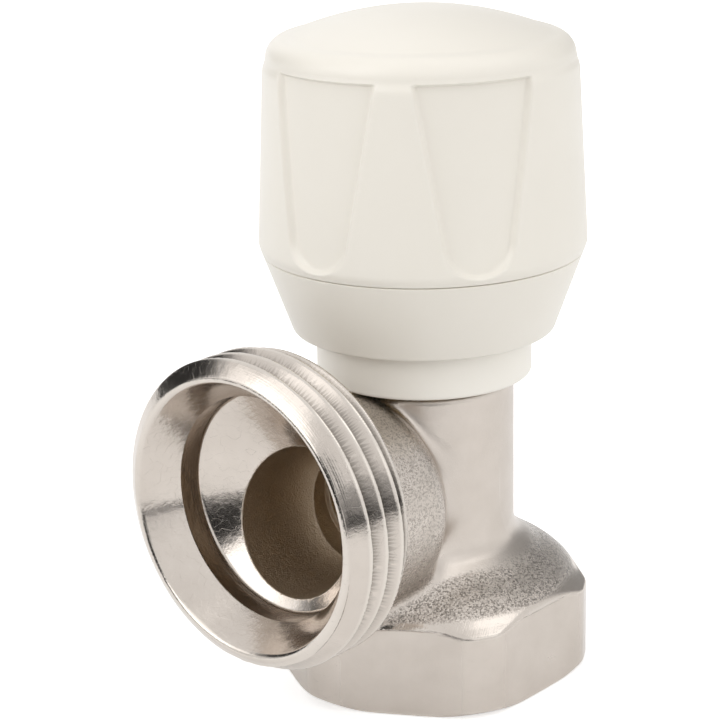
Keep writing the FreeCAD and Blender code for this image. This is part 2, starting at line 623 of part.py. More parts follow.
def handwheel_cap():
    """Upper moulding of the handwheel: a hollow dome with two narrow ribs and two pads between scallops."""
    body = new_body("handwheel_cap")
    turn(body, "cap_blank", [
        ("0", "grip_split"),
        ("split_radius", "grip_split"),
        ("grip_wide_dia / 2", "grip_wide_height"),
        ("pad_top_dia / 2", "pad_top_height"),
        ("band_dia / 2", "band_height"),
        ("crown_dia / 2", "crown_height",
         (f"crown_dia / 2 - {BOW} * crown_round", f"crown_height + (1 - {BOW}) * crown_round")),
        ("crown_dia / 2 - crown_round", "crown_height + crown_round", DOMED),
        ("0", "dome_height"),
    ])
    scallop(body, "scallop_left", "rib_angle - scallop_step")
    scallop(body, "scallop_right", "rib_angle + scallop_step")
    turn(body, "cap_core", [
        ("0", "grip_split"),
        ("scallop_floor / 2", "grip_split"),
        ("band_dia / 2 - scallop_ledge", "band_height"),
        ("0", "band_height"),
    ])
    web_top = "(drive_bottom + carrier_web + axial_play)"
    inside = "crown_dia / 2 - grip_wall"
    turn(body, "cap_hollow", [
        ("0", "grip_split"),
        ("carrier_spigot / 2 + seated_fit", "grip_split"),
        ("carrier_spigot / 2 + seated_fit", web_top),
        (inside, "crown_height - grip_wall", DOMED),
        ("0", "dome_height - grip_wall"),
    ], cut=True)
    return body


def handwheel_screw():
    """Screw that holds the carrier on the spindle."""
    body = new_body("handwheel_screw")
    tip = f"hub_top - screw_length"
    head_top = f"hub_top + screw_head_height"
    turn(body, "screw", [
        ("0", tip),
        ("screw_dia / 2", tip),
        ("screw_dia / 2", "hub_top"),
        ("screw_head / 2", "hub_top"),
        ("screw_head / 2", head_top),
        ("0", head_top),
    ])
    half = "screw_slot / 2"
    end = "screw_head"
    slot = [(f"-{end}", f"-{half}"), (end, f"-{half}"), (end, half), (f"-{end}", half)]
    mill(body, "screw_slot_cut", [slot], f"{head_top} - screw_slot", "screw_slot")
    return body


pieces = [
    valve_body(),
    tube("bonnet_gasket", "bonnet_dia / 2", "neck_dia / 2 - neck_chamfer", "neck_height", "flange_low"),
    bonnet(),
    collar(),
    spindle(),
    stem_ring("stem_ring_lower", 0),
    stem_ring("stem_ring_upper", 1),
    plug(),
    tube("plug_gasket", "plug_boss / 2 + seated_fit", "plug_dia / 2 - plug_rim - seated_fit",
         "gasket_low", "gasket_top"),
    tube("plug_washer", "pin_dia / 2 + running_fit", "washer_dia / 2", "washer_low", "gasket_low"),
    plug_clip(),
    handwheel_carrier(),
    handwheel_cap(),
    handwheel_screw(),
]
doc.recompute()

for item in doc.Objects:
    if "Invalid" in item.State or "Error" in item.State:
        raise RuntimeError(f"{item.Label} failed")
for piece in pieces:
    if piece.Shape.isNull() or not piece.Shape.isValid():
        raise RuntimeError(f"{piece.Label} has no valid shape")

os.makedirs("parts", exist_ok=True)
for piece in pieces:
    piece.Shape.exportStep(f"parts/{piece.Label}.step")
    print(f"{piece.Label}: {len(piece.Shape.Solids)} solid, {piece.Shape.Volume:.1f} cubic millimetres")
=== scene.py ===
"""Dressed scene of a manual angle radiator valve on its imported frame.

Sizes are in millimetres, or in metres for finishes and lamps, and angles are in degrees. Every mesh is written
in metres. The forged body is the zero surface of a distance field, and the mouldings are surfaces turned about
the spindle.
"""
from __future__ import annotations

import logging
import math
from dataclasses import dataclass, field
from enum import Enum

import bmesh
import bpy
import numpy as np
from mathutils import Matrix

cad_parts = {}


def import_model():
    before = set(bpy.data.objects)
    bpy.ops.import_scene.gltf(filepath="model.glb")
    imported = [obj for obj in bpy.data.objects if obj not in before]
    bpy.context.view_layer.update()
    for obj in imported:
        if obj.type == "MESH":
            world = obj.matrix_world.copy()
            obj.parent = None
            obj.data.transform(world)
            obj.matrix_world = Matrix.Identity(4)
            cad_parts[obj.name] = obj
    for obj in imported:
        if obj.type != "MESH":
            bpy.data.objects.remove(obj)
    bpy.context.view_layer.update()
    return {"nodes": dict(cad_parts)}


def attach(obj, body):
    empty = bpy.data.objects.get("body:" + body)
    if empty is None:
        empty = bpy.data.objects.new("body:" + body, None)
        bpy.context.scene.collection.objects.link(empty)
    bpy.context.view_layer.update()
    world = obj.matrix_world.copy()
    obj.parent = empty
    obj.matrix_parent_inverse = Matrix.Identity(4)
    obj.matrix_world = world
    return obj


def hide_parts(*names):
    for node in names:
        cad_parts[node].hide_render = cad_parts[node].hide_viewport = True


MM = 0.001
Array = np.ndarray
Socket = bpy.types.NodeSocket
Colour = tuple[float, float, float]
Inputs = dict[str | int, object]
WHITE = (1.0, 1.0, 1.0, 1.0)
log = logging.getLogger("radiator_valve")


class Slot(str, Enum):
    """The record's material slots."""

    NICKEL = "nickel_brass"
    BRASS = "turned_brass"
    WHITE = "white_plastic"
    RUBBER = "black_rubber"
    FIBRE = "gasket_fibre"
    ZINC = "zinc_steel"


class Body(str, Enum):
    """The frame's rigid bodies."""

    VALVE = "valve"
    PLUG = "plug_group"
    WHEEL = "handwheel"


class Zone(str, Enum):
    """How a face of the forging was made, and where painted shade and a painted highlight go, as the names of its
    mesh attributes.
    """

    TURNED = "turned"
    BLASTED = "blasted"
    PASSAGE = "passage"
    # Painted shade: darkens the outlet thread's roots, where shade falls.
    ROOT = "root"
    # Painted highlight: lightens outer edges.
    EDGE = "edge"


# Distance fields

def blend(first: Array, second: Array, width: float) -> Array:
    """Union of two distance fields with a round in the corner: the lesser one, lowered by a parabola where
    both lie within a width of each other.

    Args:
        first: distances to one solid.
        second: distances to the other.
        width: how far the round reaches.

    Returns:
        Distances to the rounded union.
    """
    share = np.maximum(width - np.abs(first - second), 0.0) / width
    return np.minimum(first, second) - share * share * width * 0.25


def trim(first: Array, second: Array, width: float) -> Array:
    """Intersection of two distance fields with a round on the edge, as blend turned inside out.

    Args:
        first: distances to one solid.
        second: distances to the other.
        width: how far the round reaches.

    Returns:
        Distances to the rounded intersection.
    """
    return -blend(-first, -second, width)


def ramp(low: float, high: float, values: Array) -> Array:
    """Smooth step from 0 at low to 1 at high, with a level start and end.

    Args:
        low: value that gives 0.
        high: value that gives 1.
        values: what is compared.

    Returns:
        Shares from 0 to 1.
    """
    share = np.clip((values - low) / (high - low), 0.0, 1.0)
    return share * share * (3.0 - 2.0 * share)


def near(distance: Array, outer: float = 0.25, inner: float = 0.05) -> Array:
    """Share of a surface at places by their distance from it.

    Args:
        distance: distances, of either sign.
        outer: distance that gives 0.
        inner: distance that gives 1.

    Returns:
        Shares from 0 to 1.
    """
    return ramp(outer, inner, np.abs(distance))


@dataclass(frozen=True)
class Line:
    """A straight edge of a turned profile, with its solid on the right hand of the way from start to end."""

    start: tuple[float, float]
    end: tuple[float, float]

    def distance(self, along: Array, radius: Array) -> Array:
        """Signed distance to the endless line, positive on its left hand.

        Args:
            along: first coordinate, along the axis.
            radius: second coordinate, away from the axis.

        Returns:
            Distances.
        """
        step = np.array(self.end) - np.array(self.start)
        step = step / np.hypot(*step)
        return (radius - self.start[1]) * step[0] - (along - self.start[0]) * step[1]


@dataclass(frozen=True)
class PipeThread:
    """A parallel pipe thread with rounded crests and roots, whose leading flank may be the longer one."""

    major: float
    pitch: float
    depth: float
    lead: float = 0.5
    stretch: float = 1.25
    sink: float = 0.15
    crest_round: float = 0.2

    def depth_at(self, along: Array, angle: Array) -> Array:
        """Depth of the groove below the major radius, down over the lead's share of the pitch and up again.

        The depth is stretched a little and then clipped softly at both ends, which rounds crest and root.

        Args:
            along: coordinate along the axis.
            angle: angle round the axis in radians, right-handed about it.

        Returns:
            Depths from 0 at the crest to the full depth at the root.
        """
        turns = along / self.pitch - angle / (2 * math.pi)
        share = turns - np.floor(turns)
        wave = np.minimum(share / self.lead, (1.0 - share) / (1.0 - self.lead))
        sharp = self.depth * (self.stretch * wave - self.sink)
        flat_crest = trim(sharp, np.zeros_like(sharp), self.crest_round)
        return blend(flat_crest, np.full_like(sharp, self.depth), self.crest_round)


# Meshes

@dataclass
class Surface:
    """A mesh of quads or triangles in millimetres."""

    points: Array
    faces: Array

    def to_object(self, name: str, crease: float | None = 35.0) -> bpy.types.Object:
        """Writes the surface to a new object at the origin, with its seams and poles merged.

        Args:
            name: object name.
            crease: angle above which an edge stays sharp, or None to leave the normals alone.

        Returns:
            The object, linked to the scene.
        """
        mesh = bpy.data.meshes.new(name)
        sides = self.faces.shape[1]
        mesh.vertices.add(len(self.points))
        mesh.vertices.foreach_set("co", (self.points * MM).astype(np.float32).ravel())
        mesh.loops.add(self.faces.size)
        mesh.loops.foreach_set("vertex_index", self.faces.astype(np.int32).ravel())
        mesh.polygons.add(len(self.faces))
        mesh.polygons.foreach_set("loop_start", np.arange(0, self.faces.size, sides, dtype=np.int32))
        mesh.update(calc_edges=True)
        made = bmesh.new()
        made.from_mesh(mesh)
        bmesh.ops.remove_doubles(made, verts=made.verts, dist=2e-7)
        bmesh.ops.recalc_face_normals(made, faces=made.faces)
        made.to_mesh(mesh)
        made.free()
        mesh.validate()
        mesh.polygons.foreach_set("use_smooth", np.ones(len(mesh.polygons), dtype=bool))
        if crease is not None:
            mesh.set_sharp_from_angle(angle=math.radians(crease))
        obj = bpy.data.objects.new(name, mesh)
        bpy.context.scene.collection.objects.link(obj)
        return obj


def grid_faces(rows: int, columns: int) -> Array:
    """Quads between neighbours on a grid of points whose last row and column join the first.

    Args:
        rows: number of rows.
        columns: number of points in a row.

    Returns:
        Quads as an array of point numbers.
    """
    down, across = np.arange(rows)[:, None], np.arange(columns)[None, :]
    below, beside = (down + 1) % rows, (across + 1) % columns
    corners = ((down, across), (down, beside), (below, beside), (below, across))
    return np.stack([row * columns + column for row, column in corners], axis=-1).reshape(-1, 4)


def rounded_outline(corners: list[tuple[float, float, float]], steps: int = 7) -> Array:
    """A closed outline whose corners are rounded: each corner is a quadratic curve between the two points that
    lie its round's reach away along the sides.

    Args:
        corners: radius, height and reach of the round at each corner.
        steps: points on each round.

    Returns:
        Points as rows of radius and height.
    """
    place = np.array([corner[:2] for corner in corners])
    reach = np.array([corner[2] for corner in corners])[:, None]
    before, after = np.roll(place, 1, axis=0) - place, np.roll(place, -1, axis=0) - place
    first = place + before / np.linalg.norm(before, axis=1, keepdims=True) * reach
    last = place + after / np.linalg.norm(after, axis=1, keepdims=True) * reach
    share = np.linspace(0.0, 1.0, steps)[None, :, None]
    ends = (1 - share) ** 2 * first[:, None] + share**2 * last[:, None]
    return (ends + 2 * share * (1 - share) * place[:, None]).reshape(-1, 2)


def wrapped(radius: Array, height: Array, angle: Array) -> Surface:
    """Rows of points about the spindle, each at its radius, joined to a surface that is closed both ways.

    Args:
        radius: radius for each row and direction.
        height: height of each row.
        angle: directions in radians.

    Returns:
        The surface.
    """
    height = np.broadcast_to(height[:, None], radius.shape)
    points = np.stack([radius * np.cos(angle), radius * np.sin(angle), height], axis=-1)
    return Surface(points.reshape(-1, 3), grid_faces(*radius.shape))


def turned(outline: Array, segments: int) -> Surface:
    """A closed outline turned about the spindle.

    Args:
        outline: rows of radius and height.
        segments: points round the axis.

    Returns:
        The surface, closed both ways.
    """
    angle = np.arange(segments) * (2 * math.pi / segments)
    return wrapped(np.repeat(outline[:, :1], segments, axis=1), outline[:, 1], angle)


def contour(values: Array, origin: Array, step: float) -> Surface:
    """The zero surface of a sampled field: one point in each cell that the surface crosses, at the mean of
    its crossings of the cell's edges, and one quad across each grid edge that it crosses.

    Args:
        values: field on a regular grid.
        origin: place of the first sample.
        step: distance of samples.

    Returns:
        The surface, with its faces turned outwards.
    """
    inside = values < 0.0
    cells, unit = tuple(size - 1 for size in values.shape), np.eye(3, dtype=int)
    corners = np.array([(i, j, k) for i in (0, 1) for j in (0, 1) for k in (0, 1)])
    count = sum(inside[i:i + cells[0], j:j + cells[1], k:k + cells[2]].astype(np.int8) for i, j, k in corners)
    place = np.argwhere((count > 0) & (count < 8))
    number = np.full(cells, -1, dtype=np.int64)
    number[tuple(place.T)] = np.arange(len(place))
    total, crossings = np.zeros((len(place), 3)), np.zeros((len(place), 1))
    for first in corners:
        for axis in np.flatnonzero(first == 0):
            last = first + unit[axis]
            one, other = values[tuple((place + first).T)], values[tuple((place + last).T)]
            crossed = ((one < 0.0) != (other < 0.0))[:, None]
            share = (one / np.where(one == other, 1.0, one - other))[:, None]
            total += np.where(crossed, first + share * (last - first), 0.0)
            crossings += crossed
    points = origin + step * (place + total / crossings)
    quads = []
    for axis in range(3):
        aside, upward = unit[(axis + 1) % 3], unit[(axis + 2) % 3]
        ahead = np.roll(inside, -1, axis=axis)
        changed = inside != ahead
        changed[tuple(slice(-1, None) if other == axis else slice(None) for other in range(3))] = False
        edge = np.argwhere(changed)
        edge = edge[np.all((edge >= aside + upward) & (edge < np.array(cells) + unit[axis]), axis=1)]
        ring = np.stack([number[tuple(np.minimum(edge - shift, np.array(cells) - 1).T)]
                         for shift in (0 * aside, aside, aside + upward, upward)], axis=1)
        leaving = inside[tuple(edge.T)]
        quads.append(np.where(leaving[:, None], ring, ring[:, ::-1]))
    return Surface(points, np.concatenate(quads))


# Materials

class Sheet:
    """A node tree that is filled one node at a time."""

    def __init__(self, tree: bpy.types.NodeTree) -> None:
        """Takes the tree to fill."""
        self.tree = tree

    def feed(self, node: bpy.types.Node, inputs: Inputs) -> None:
        """Links sockets to a node's inputs and sets plain values on them.

        Args:
            node: the node.
            inputs: values or sockets for its inputs, by name or number.
        """
        for key, given in inputs.items():
            if isinstance(given, Socket):
                self.tree.links.new(given, node.inputs[key])
            else:
                node.inputs[key].default_value = given

    def add(self, kind: str, inputs: Inputs | None = None, **settings: object) -> bpy.types.Node:
        """Adds a node.

        Args:
            kind: node type without its ShaderNode prefix.
            inputs: values or sockets for its inputs, by name or number.
            settings: the node's own properties.

        Returns:
            The node.
        """
        node = self.tree.nodes.new(kind if kind.startswith("Node") else "ShaderNode" + kind)
        for name, setting in settings.items():
            setattr(node, name, setting)
        self.feed(node, inputs or {})
        return node

    def math(self, operation: str, *values: object) -> Socket:
        """Result of a Math node on values or sockets."""
        return self.add("Math", dict(enumerate(values)), operation=operation).outputs[0]

    def scaled(self, value: object, factor: float) -> Socket:
        """A value times a number."""
        return self.math("MULTIPLY", value, factor)

    def length(self, first: object, second: object) -> Socket:
        """Length of a vector from its two parts."""
        squares = (self.math("POWER", part, 2.0) for part in (first, second))
        return self.math("SQRT", self.math("ADD", *squares))

    def mix(self, share: object, first: Socket | Colour, second: Socket | Colour) -> Socket:
        """Colour between two colours.

        Args:
            share: how much of the second colour shows.
            first: colour at 0.
            second: colour at 1.

        Returns:
            The colour's socket.
        """
        node = self.add("Mix", {"Factor": share}, data_type="RGBA")
        for name, given in (("A", first), ("B", second)):
            socket = next(item for item in node.inputs if item.name == name and item.type == "RGBA")
            if isinstance(given, Socket):
                self.tree.links.new(given, socket)
            else:
                socket.default_value = (*given, 1.0)
        return next(item for item in node.outputs if item.type == "RGBA")

    def between(self, share: object, low: float, high: float) -> Socket:
        """A value from low to high as the share goes from 0 to 1."""
        return self.add("MapRange", {"Value": share, "To Min": low, "To Max": high}).outputs[0]

    def remap(self, value: object, low: float, high: float) -> Socket:
        """A share from 0 to 1 as the value goes from low to high."""
        return self.add("MapRange", {"Value": value, "From Min": low, "From Max": high}).outputs[0]

    def noise(self, place: Socket, scale: object, detail: float = 2.0, roughness: float = 0.5) -> Socket:
        """Value of a noise texture at a place."""
        inputs = {"Vector": place, "Scale": scale, "Detail": detail, "Roughness": roughness}
        return self.add("TexNoise", inputs).outputs[0]


def fresh_sheet(owner: bpy.types.Material | bpy.types.World) -> Sheet:
    """Turns on the nodes of a material or a world and clears them.

    Args:
        owner: the material or the world.

    Returns:
        The sheet of its empty tree.
    """
    owner.use_nodes = True
    owner.node_tree.nodes.clear()
    return Sheet(owner.node_tree)


def new_group(name: str, inputs: dict[str, float],
              outputs: tuple[str, ...]) -> tuple[Sheet, bpy.types.Node, bpy.types.Node]:
    """An empty shader node group with float sockets.

    Args:
        name: group name.
        inputs: input names with their defaults.
        outputs: output names.

    Returns:
        The group's sheet, its input node and its output node.
    """
    tree = bpy.data.node_groups.new(name, "ShaderNodeTree")
    for title, default in inputs.items():
        socket = tree.interface.new_socket(title, in_out="INPUT", socket_type="NodeSocketFloat")
        socket.default_value = default
    for title in outputs:
        tree.interface.new_socket(title, in_out="OUTPUT", socket_type="NodeSocketFloat")
    sheet = Sheet(tree)
    return sheet, sheet.add("NodeGroupInput"), sheet.add("NodeGroupOutput")


class Effects:
    """The shader node groups that several finishes share."""

    def __init__(self) -> None:
        """Builds every group once."""
        self.grain = self.build_grain()
        self.rings = self.build_rings()
        self.handling = self.build_handling()

    @staticmethod
    def build_grain() -> bpy.types.NodeTree:
        """Pitted grain: fine noise on coarser noise, with flat flecks that each have a tone of their own.

        Returns:
            A group with the input Size in metres and the outputs Height and Tone.
        """
        sheet, given, result = new_group("pitted_grain", {"Size": 0.0003}, ("Height", "Tone"))
        place = sheet.add("TexCoord").outputs["Object"]
        scale = sheet.math("DIVIDE", 1.0, given.outputs["Size"])
        fine = sheet.noise(place, scale, 3.0, 0.6)
        wide = sheet.noise(place, sheet.scaled(scale, 0.23))
        cells = sheet.add("TexVoronoi", {"Vector": place, "Scale": sheet.scaled(scale, 1.25)})
        fleck = sheet.add("SeparateColor", {0: cells.outputs["Color"]}).outputs[0]
        height = sheet.math("ADD", sheet.scaled(fine, 0.75), sheet.scaled(wide, 0.45))
        height = sheet.math("ADD", height, sheet.scaled(fleck, 0.25))
        sheet.feed(result, {"Height": height, "Tone": sheet.remap(fleck, 0.1, 0.6)})
        return sheet.tree

    @staticmethod
    def build_rings() -> bpy.types.NodeTree:
        """Tool rings: noise along one coordinate, so that lines of uneven width run where it stays the same.

        Returns:
            A group with the inputs Along and Pitch in metres and the outputs Height and Tone.
        """
        sheet, given, result = new_group("tool_rings", {"Along": 0.0, "Pitch": 0.0002}, ("Height", "Tone"))
        turns = sheet.math("DIVIDE", given.outputs["Along"], given.outputs["Pitch"])
        lines = ({"W": turns, "Scale": 1.0, "Detail": 2.0}, {"W": turns, "Scale": 0.13, "Detail": 1.0})
        fine, broad = (sheet.add("TexNoise", line, noise_dimensions="1D").outputs[0] for line in lines)
        height = sheet.math("ADD", sheet.scaled(fine, 0.7), sheet.scaled(broad, 0.6))
        sheet.feed(result, {"Height": height, "Tone": sheet.remap(broad, 0.3, 0.7)})
        return sheet.tree

    @staticmethod
    def build_handling() -> bpy.types.NodeTree:
        """Handling marks: soft clouds, broken up by finer ones.

        Returns:
            A group with the input Size in metres and the output Mask.
        """
        sheet, given, result = new_group("handling_marks", {"Size": 0.01}, ("Mask",))
        scale = sheet.math("DIVIDE", 1.0, given.outputs["Size"])
        cloud = sheet.noise(sheet.add("TexCoord").outputs["Object"], scale, 4.0, 0.62)
        sheet.feed(result, {"Mask": sheet.remap(cloud, 0.3, 0.7)})
        return sheet.tree


class Dresser:
    """Makes the finishes from the shared effects."""

    def __init__(self, effects: Effects) -> None:
        """Takes the effects that the finishes use."""
        self.effects = effects

    def start(self, name: str) -> tuple[bpy.types.Material, Sheet, bpy.types.Node]:
        """A new material with an empty Principled shader.

        Args:
            name: material name.

        Returns:
            The material, its sheet and its shader.
        """
        material = bpy.data.materials.new(name)
        sheet = fresh_sheet(material)
        shader = sheet.add("BsdfPrincipled")
        sheet.add("OutputMaterial", {"Surface": shader.outputs[0]})
        return material, sheet, shader

    def bump(self, sheet: Sheet, height: Socket, depth: float, strength: object = 1.0,
             below: Socket | None = None) -> Socket:
        """Normal of a height field.

        Args:
            sheet: the material's sheet.
            height: height from 0 to 1.
            depth: depth in metres that it stands for.
            strength: share of the relief that shows.
            below: normal that it is laid over.

        Returns:
            The new normal.
        """
        inputs = {"Strength": strength, "Distance": depth, "Height": height}
        if below is not None:
            inputs["Normal"] = below
        return sheet.add("Bump", inputs).outputs[0]

    def group(self, sheet: Sheet, tree: bpy.types.NodeTree, **inputs: object) -> bpy.types.Node:
        """Places a shared effect in a material with its own values."""
        return sheet.add("Group", inputs, node_tree=tree)


@dataclass(frozen=True)
class NickelFinish:
    """Nickel plate on the forging: blasted grain, satin flats, turned faces with tool rings, a dull passage, with
    painted shade in the thread's roots and a painted highlight on outer edges.
    """

    plate: Colour = (0.61, 0.555, 0.505)
    shade: Colour = (0.46, 0.41, 0.36)
    passage: Colour = (0.46, 0.36, 0.25)
    # Colour of the blasted grain's pits, also used as painted shade in the thread's roots.
    pit_and_root_shade: Colour = (0.12, 0.105, 0.088)
    # Painted highlight colour on outer edges.
    edge_highlight: Colour = (0.80, 0.76, 0.70)
    cloud_share: float = 0.35
    pit_share: float = 0.76
    # Share of the dull passage's colour and of the painted shade in the thread's roots.
    passage_and_root_shade_share: float = 0.85
    # Share of the painted highlight on outer edges.
    edge_highlight_share: float = 0.35
    satin_rough: float = 0.27
    blasted_rough: float = 0.24
    turned_rough: float = -0.14
    passage_rough: float = 0.18
    cloud_rough: float = 0.06
    outlet_height: float = 25.25
    ring_lean: float = 0.8
    ring_pitch: float = 0.00022
    grain_size: float = 0.00019
    dent_size: float = 0.0011
    cloud_size: float = 0.006
    grain_depth: float = 0.00012
    ring_depth: float = 0.00003
    dent_depth: float = 0.00006
    passage_relief: float = 0.8
    satin_relief: float = 0.22
    least_relief: float = 0.04
    ring_relief: float = 0.35
    dent_relief: float = 0.5

    def build(self, dresser: Dresser) -> bpy.types.Material:
        """Builds the material, which reads the zones that the forging's mesh carries.

        Args:
            dresser: maker of materials.

        Returns:
            The material.
        """
        material, sheet, shader = dresser.start("nickel_plate")
        zone = {item: sheet.add("Attribute", attribute_name=item.value).outputs["Fac"] for item in Zone}
        place = sheet.add("SeparateXYZ", {0: sheet.add("TexCoord").outputs["Object"]}).outputs
        reach = sheet.length(place["Y"], sheet.math("SUBTRACT", place["Z"], self.outlet_height * MM))
        along = sheet.math("SUBTRACT", reach, sheet.scaled(place["X"], self.ring_lean))
        rings = dresser.group(sheet, dresser.effects.rings, Along=along, Pitch=self.ring_pitch)
        grain = dresser.group(sheet, dresser.effects.grain, Size=self.grain_size)
        dents = dresser.group(sheet, dresser.effects.grain, Size=self.dent_size)
        cloud = dresser.group(sheet, dresser.effects.handling, Size=self.cloud_size).outputs["Mask"]

        pits = sheet.math("SUBTRACT", 1.0, grain.outputs["Tone"])
        pits = sheet.math("MULTIPLY", pits, zone[Zone.BLASTED])
        tone = sheet.mix(sheet.scaled(cloud, self.cloud_share), self.plate, self.shade)
        # Tone: handling clouds, grain pits, the dull passage, painted shade in the thread's roots and a painted
        # highlight on outer edges.
        for mask, share, colour in (
            (pits, self.pit_share, self.pit_and_root_shade), (zone[Zone.PASSAGE], self.passage_and_root_shade_share, self.passage),
            (zone[Zone.ROOT], self.passage_and_root_shade_share, self.pit_and_root_shade), (zone[Zone.EDGE], self.edge_highlight_share, self.edge_highlight),
        ):
            tone = sheet.mix(sheet.scaled(mask, share), tone, colour)

        rough = sheet.between(zone[Zone.BLASTED], self.satin_rough, self.blasted_rough)
        for mask, change in ((zone[Zone.TURNED], self.turned_rough), (zone[Zone.PASSAGE], self.passage_rough),
                             (cloud, self.cloud_rough)):
            rough = sheet.math("ADD", rough, sheet.scaled(mask, change))

        satin = sheet.scaled(sheet.math("SUBTRACT", 1.0, zone[Zone.TURNED]), self.satin_relief)
        dull = sheet.scaled(zone[Zone.PASSAGE], self.passage_relief)
        forged = sheet.math("MAXIMUM", zone[Zone.BLASTED], dull)
        strength = sheet.math("ADD", sheet.math("MAXIMUM", forged, satin), self.least_relief)
        relief = dresser.bump(sheet, grain.outputs["Height"], self.grain_depth, strength)
        for effect, depth, share in ((rings, self.ring_depth, self.ring_relief),
                                     (dents, self.dent_depth, self.dent_relief)):
            strength = sheet.scaled(zone[Zone.TURNED], share)
            relief = dresser.bump(sheet, effect.outputs["Height"], depth, strength, relief)
        sheet.feed(shader, {"Base Color": tone, "Roughness": rough, "Metallic": 1.0, "Normal": relief})
        return material


@dataclass(frozen=True)
class PlasticFinish:
    """Moulded white plastic with a faint skin and handling marks."""

    name: str
    colour: Colour
    shade: Colour
    roughness: float = 0.33
    rough_spread: tuple[float, float] = (-0.04, 0.06)
    cloud_size: float = 0.016
    cloud_share: float = 0.5
    skin_size: float = 0.0006
    skin_depth: float = 0.000012
    skin_relief: float = 0.35
    refraction: float = 1.49
    scatter: float = 0.06
    scatter_reach: Colour = (0.001, 0.001, 0.0009)

    def build(self, dresser: Dresser) -> bpy.types.Material:
        """Builds the material.

        Args:
            dresser: maker of materials.

        Returns:
            The material.
        """
        material, sheet, shader = dresser.start(self.name)
        cloud = dresser.group(sheet, dresser.effects.handling, Size=self.cloud_size).outputs["Mask"]
        skin = dresser.group(sheet, dresser.effects.grain, Size=self.skin_size).outputs["Height"]
        sheet.feed(shader, {
            "Base Color": sheet.mix(sheet.scaled(cloud, self.cloud_share), self.colour, self.shade),
            "Roughness": sheet.between(cloud, *(self.roughness + change for change in self.rough_spread)),
            "IOR": self.refraction,
            "Subsurface Weight": self.scatter,
            "Subsurface Radius": self.scatter_reach,
            "Normal": dresser.bump(sheet, skin, self.skin_depth, self.skin_relief),
        })
        return material


@dataclass(frozen=True)
class TurnedFinish:
    """Turned metal with tool rings about the spindle."""

    name: str
    colour: Colour
    shade: Colour
    roughness: float
    rough_spread: tuple[float, float] = (-0.05, 0.08)
    cloud_size: float = 0.004
    cloud_share: float = 0.6
    ring_pitch: float = 0.00018
    ring_depth: float = 0.00002
    ring_relief: float = 0.6

    def build(self, dresser: Dresser) -> bpy.types.Material:
        """Builds the material.

        Args:
            dresser: maker of materials.

        Returns:
            The material.
        """
        material, sheet, shader = dresser.start(self.name)
        place = sheet.add("SeparateXYZ", {0: sheet.add("TexCoord").outputs["Object"]}).outputs
        along = sheet.math("ADD", sheet.length(place["X"], place["Y"]), place["Z"])
        rings = dresser.group(sheet, dresser.effects.rings, Along=along, Pitch=self.ring_pitch).outputs
        cloud = dresser.group(sheet, dresser.effects.handling, Size=self.cloud_size).outputs["Mask"]
        sheet.feed(shader, {
            "Base Color": sheet.mix(sheet.scaled(cloud, self.cloud_share), self.colour, self.shade),
            "Roughness": sheet.between(rings["Tone"], *(self.roughness + change for change in self.rough_spread)),
            "Metallic": 1.0,
            "Normal": dresser.bump(sheet, rings["Height"], self.ring_depth, self.ring_relief),
        })
        return material


@dataclass(frozen=True)
class SealFinish:
    """Rubber or fibre of a seal, dull and slightly uneven."""

    name: str
    colour: Colour
    shade: Colour
    rough_range: tuple[float, float] = (0.5, 0.75)
    cloud_size: float = 0.003
    grain_size: float = 0.00025
    grain_depth: float = 0.00003
    grain_relief: float = 0.5

    def build(self, dresser: Dresser) -> bpy.types.Material:
        """Builds the material.

        Args:
            dresser: maker of materials.

        Returns:
            The material.
        """
        material, sheet, shader = dresser.start(self.name)
        cloud = dresser.group(sheet, dresser.effects.handling, Size=self.cloud_size).outputs["Mask"]
        grain = dresser.group(sheet, dresser.effects.grain, Size=self.grain_size).outputs
        sheet.feed(shader, {
            "Base Color": sheet.mix(cloud, self.colour, self.shade),
            "Roughness": sheet.between(grain["Tone"], *self.rough_range),
            "Normal": dresser.bump(sheet, grain["Height"], self.grain_depth, self.grain_relief),
        })
        return material


# Sub-assemblies

def seat_piece(obj: bpy.types.Object, body: Body, slot: Slot, material: bpy.types.Material,
               *nodes: str) -> None:
    """Dresses a new piece, puts it on its body and lets it stand for its nodes.

    Args:
        obj: the piece.
        body: body that it rides on.
        slot: record slot of its finish; not used.
        material: its material.
        nodes: nodes that it stands for.
    """
    obj.data.materials.clear()
    obj.data.materials.append(material)
    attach(obj, body.value)
    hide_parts(*nodes)
    log.info("%s rides on %s with %d faces", obj.name, body.value, len(obj.data.polygons))


def dress_node(node: bpy.types.Object, material: bpy.types.Material) -> None:
    """Gives a carried-over node its finish.

    Args:
        node: the node's object.
        material: its material.
    """
    node.data.materials.clear()
    node.data.materials.append(material)
    log.info("%s keeps its shape", node.name)


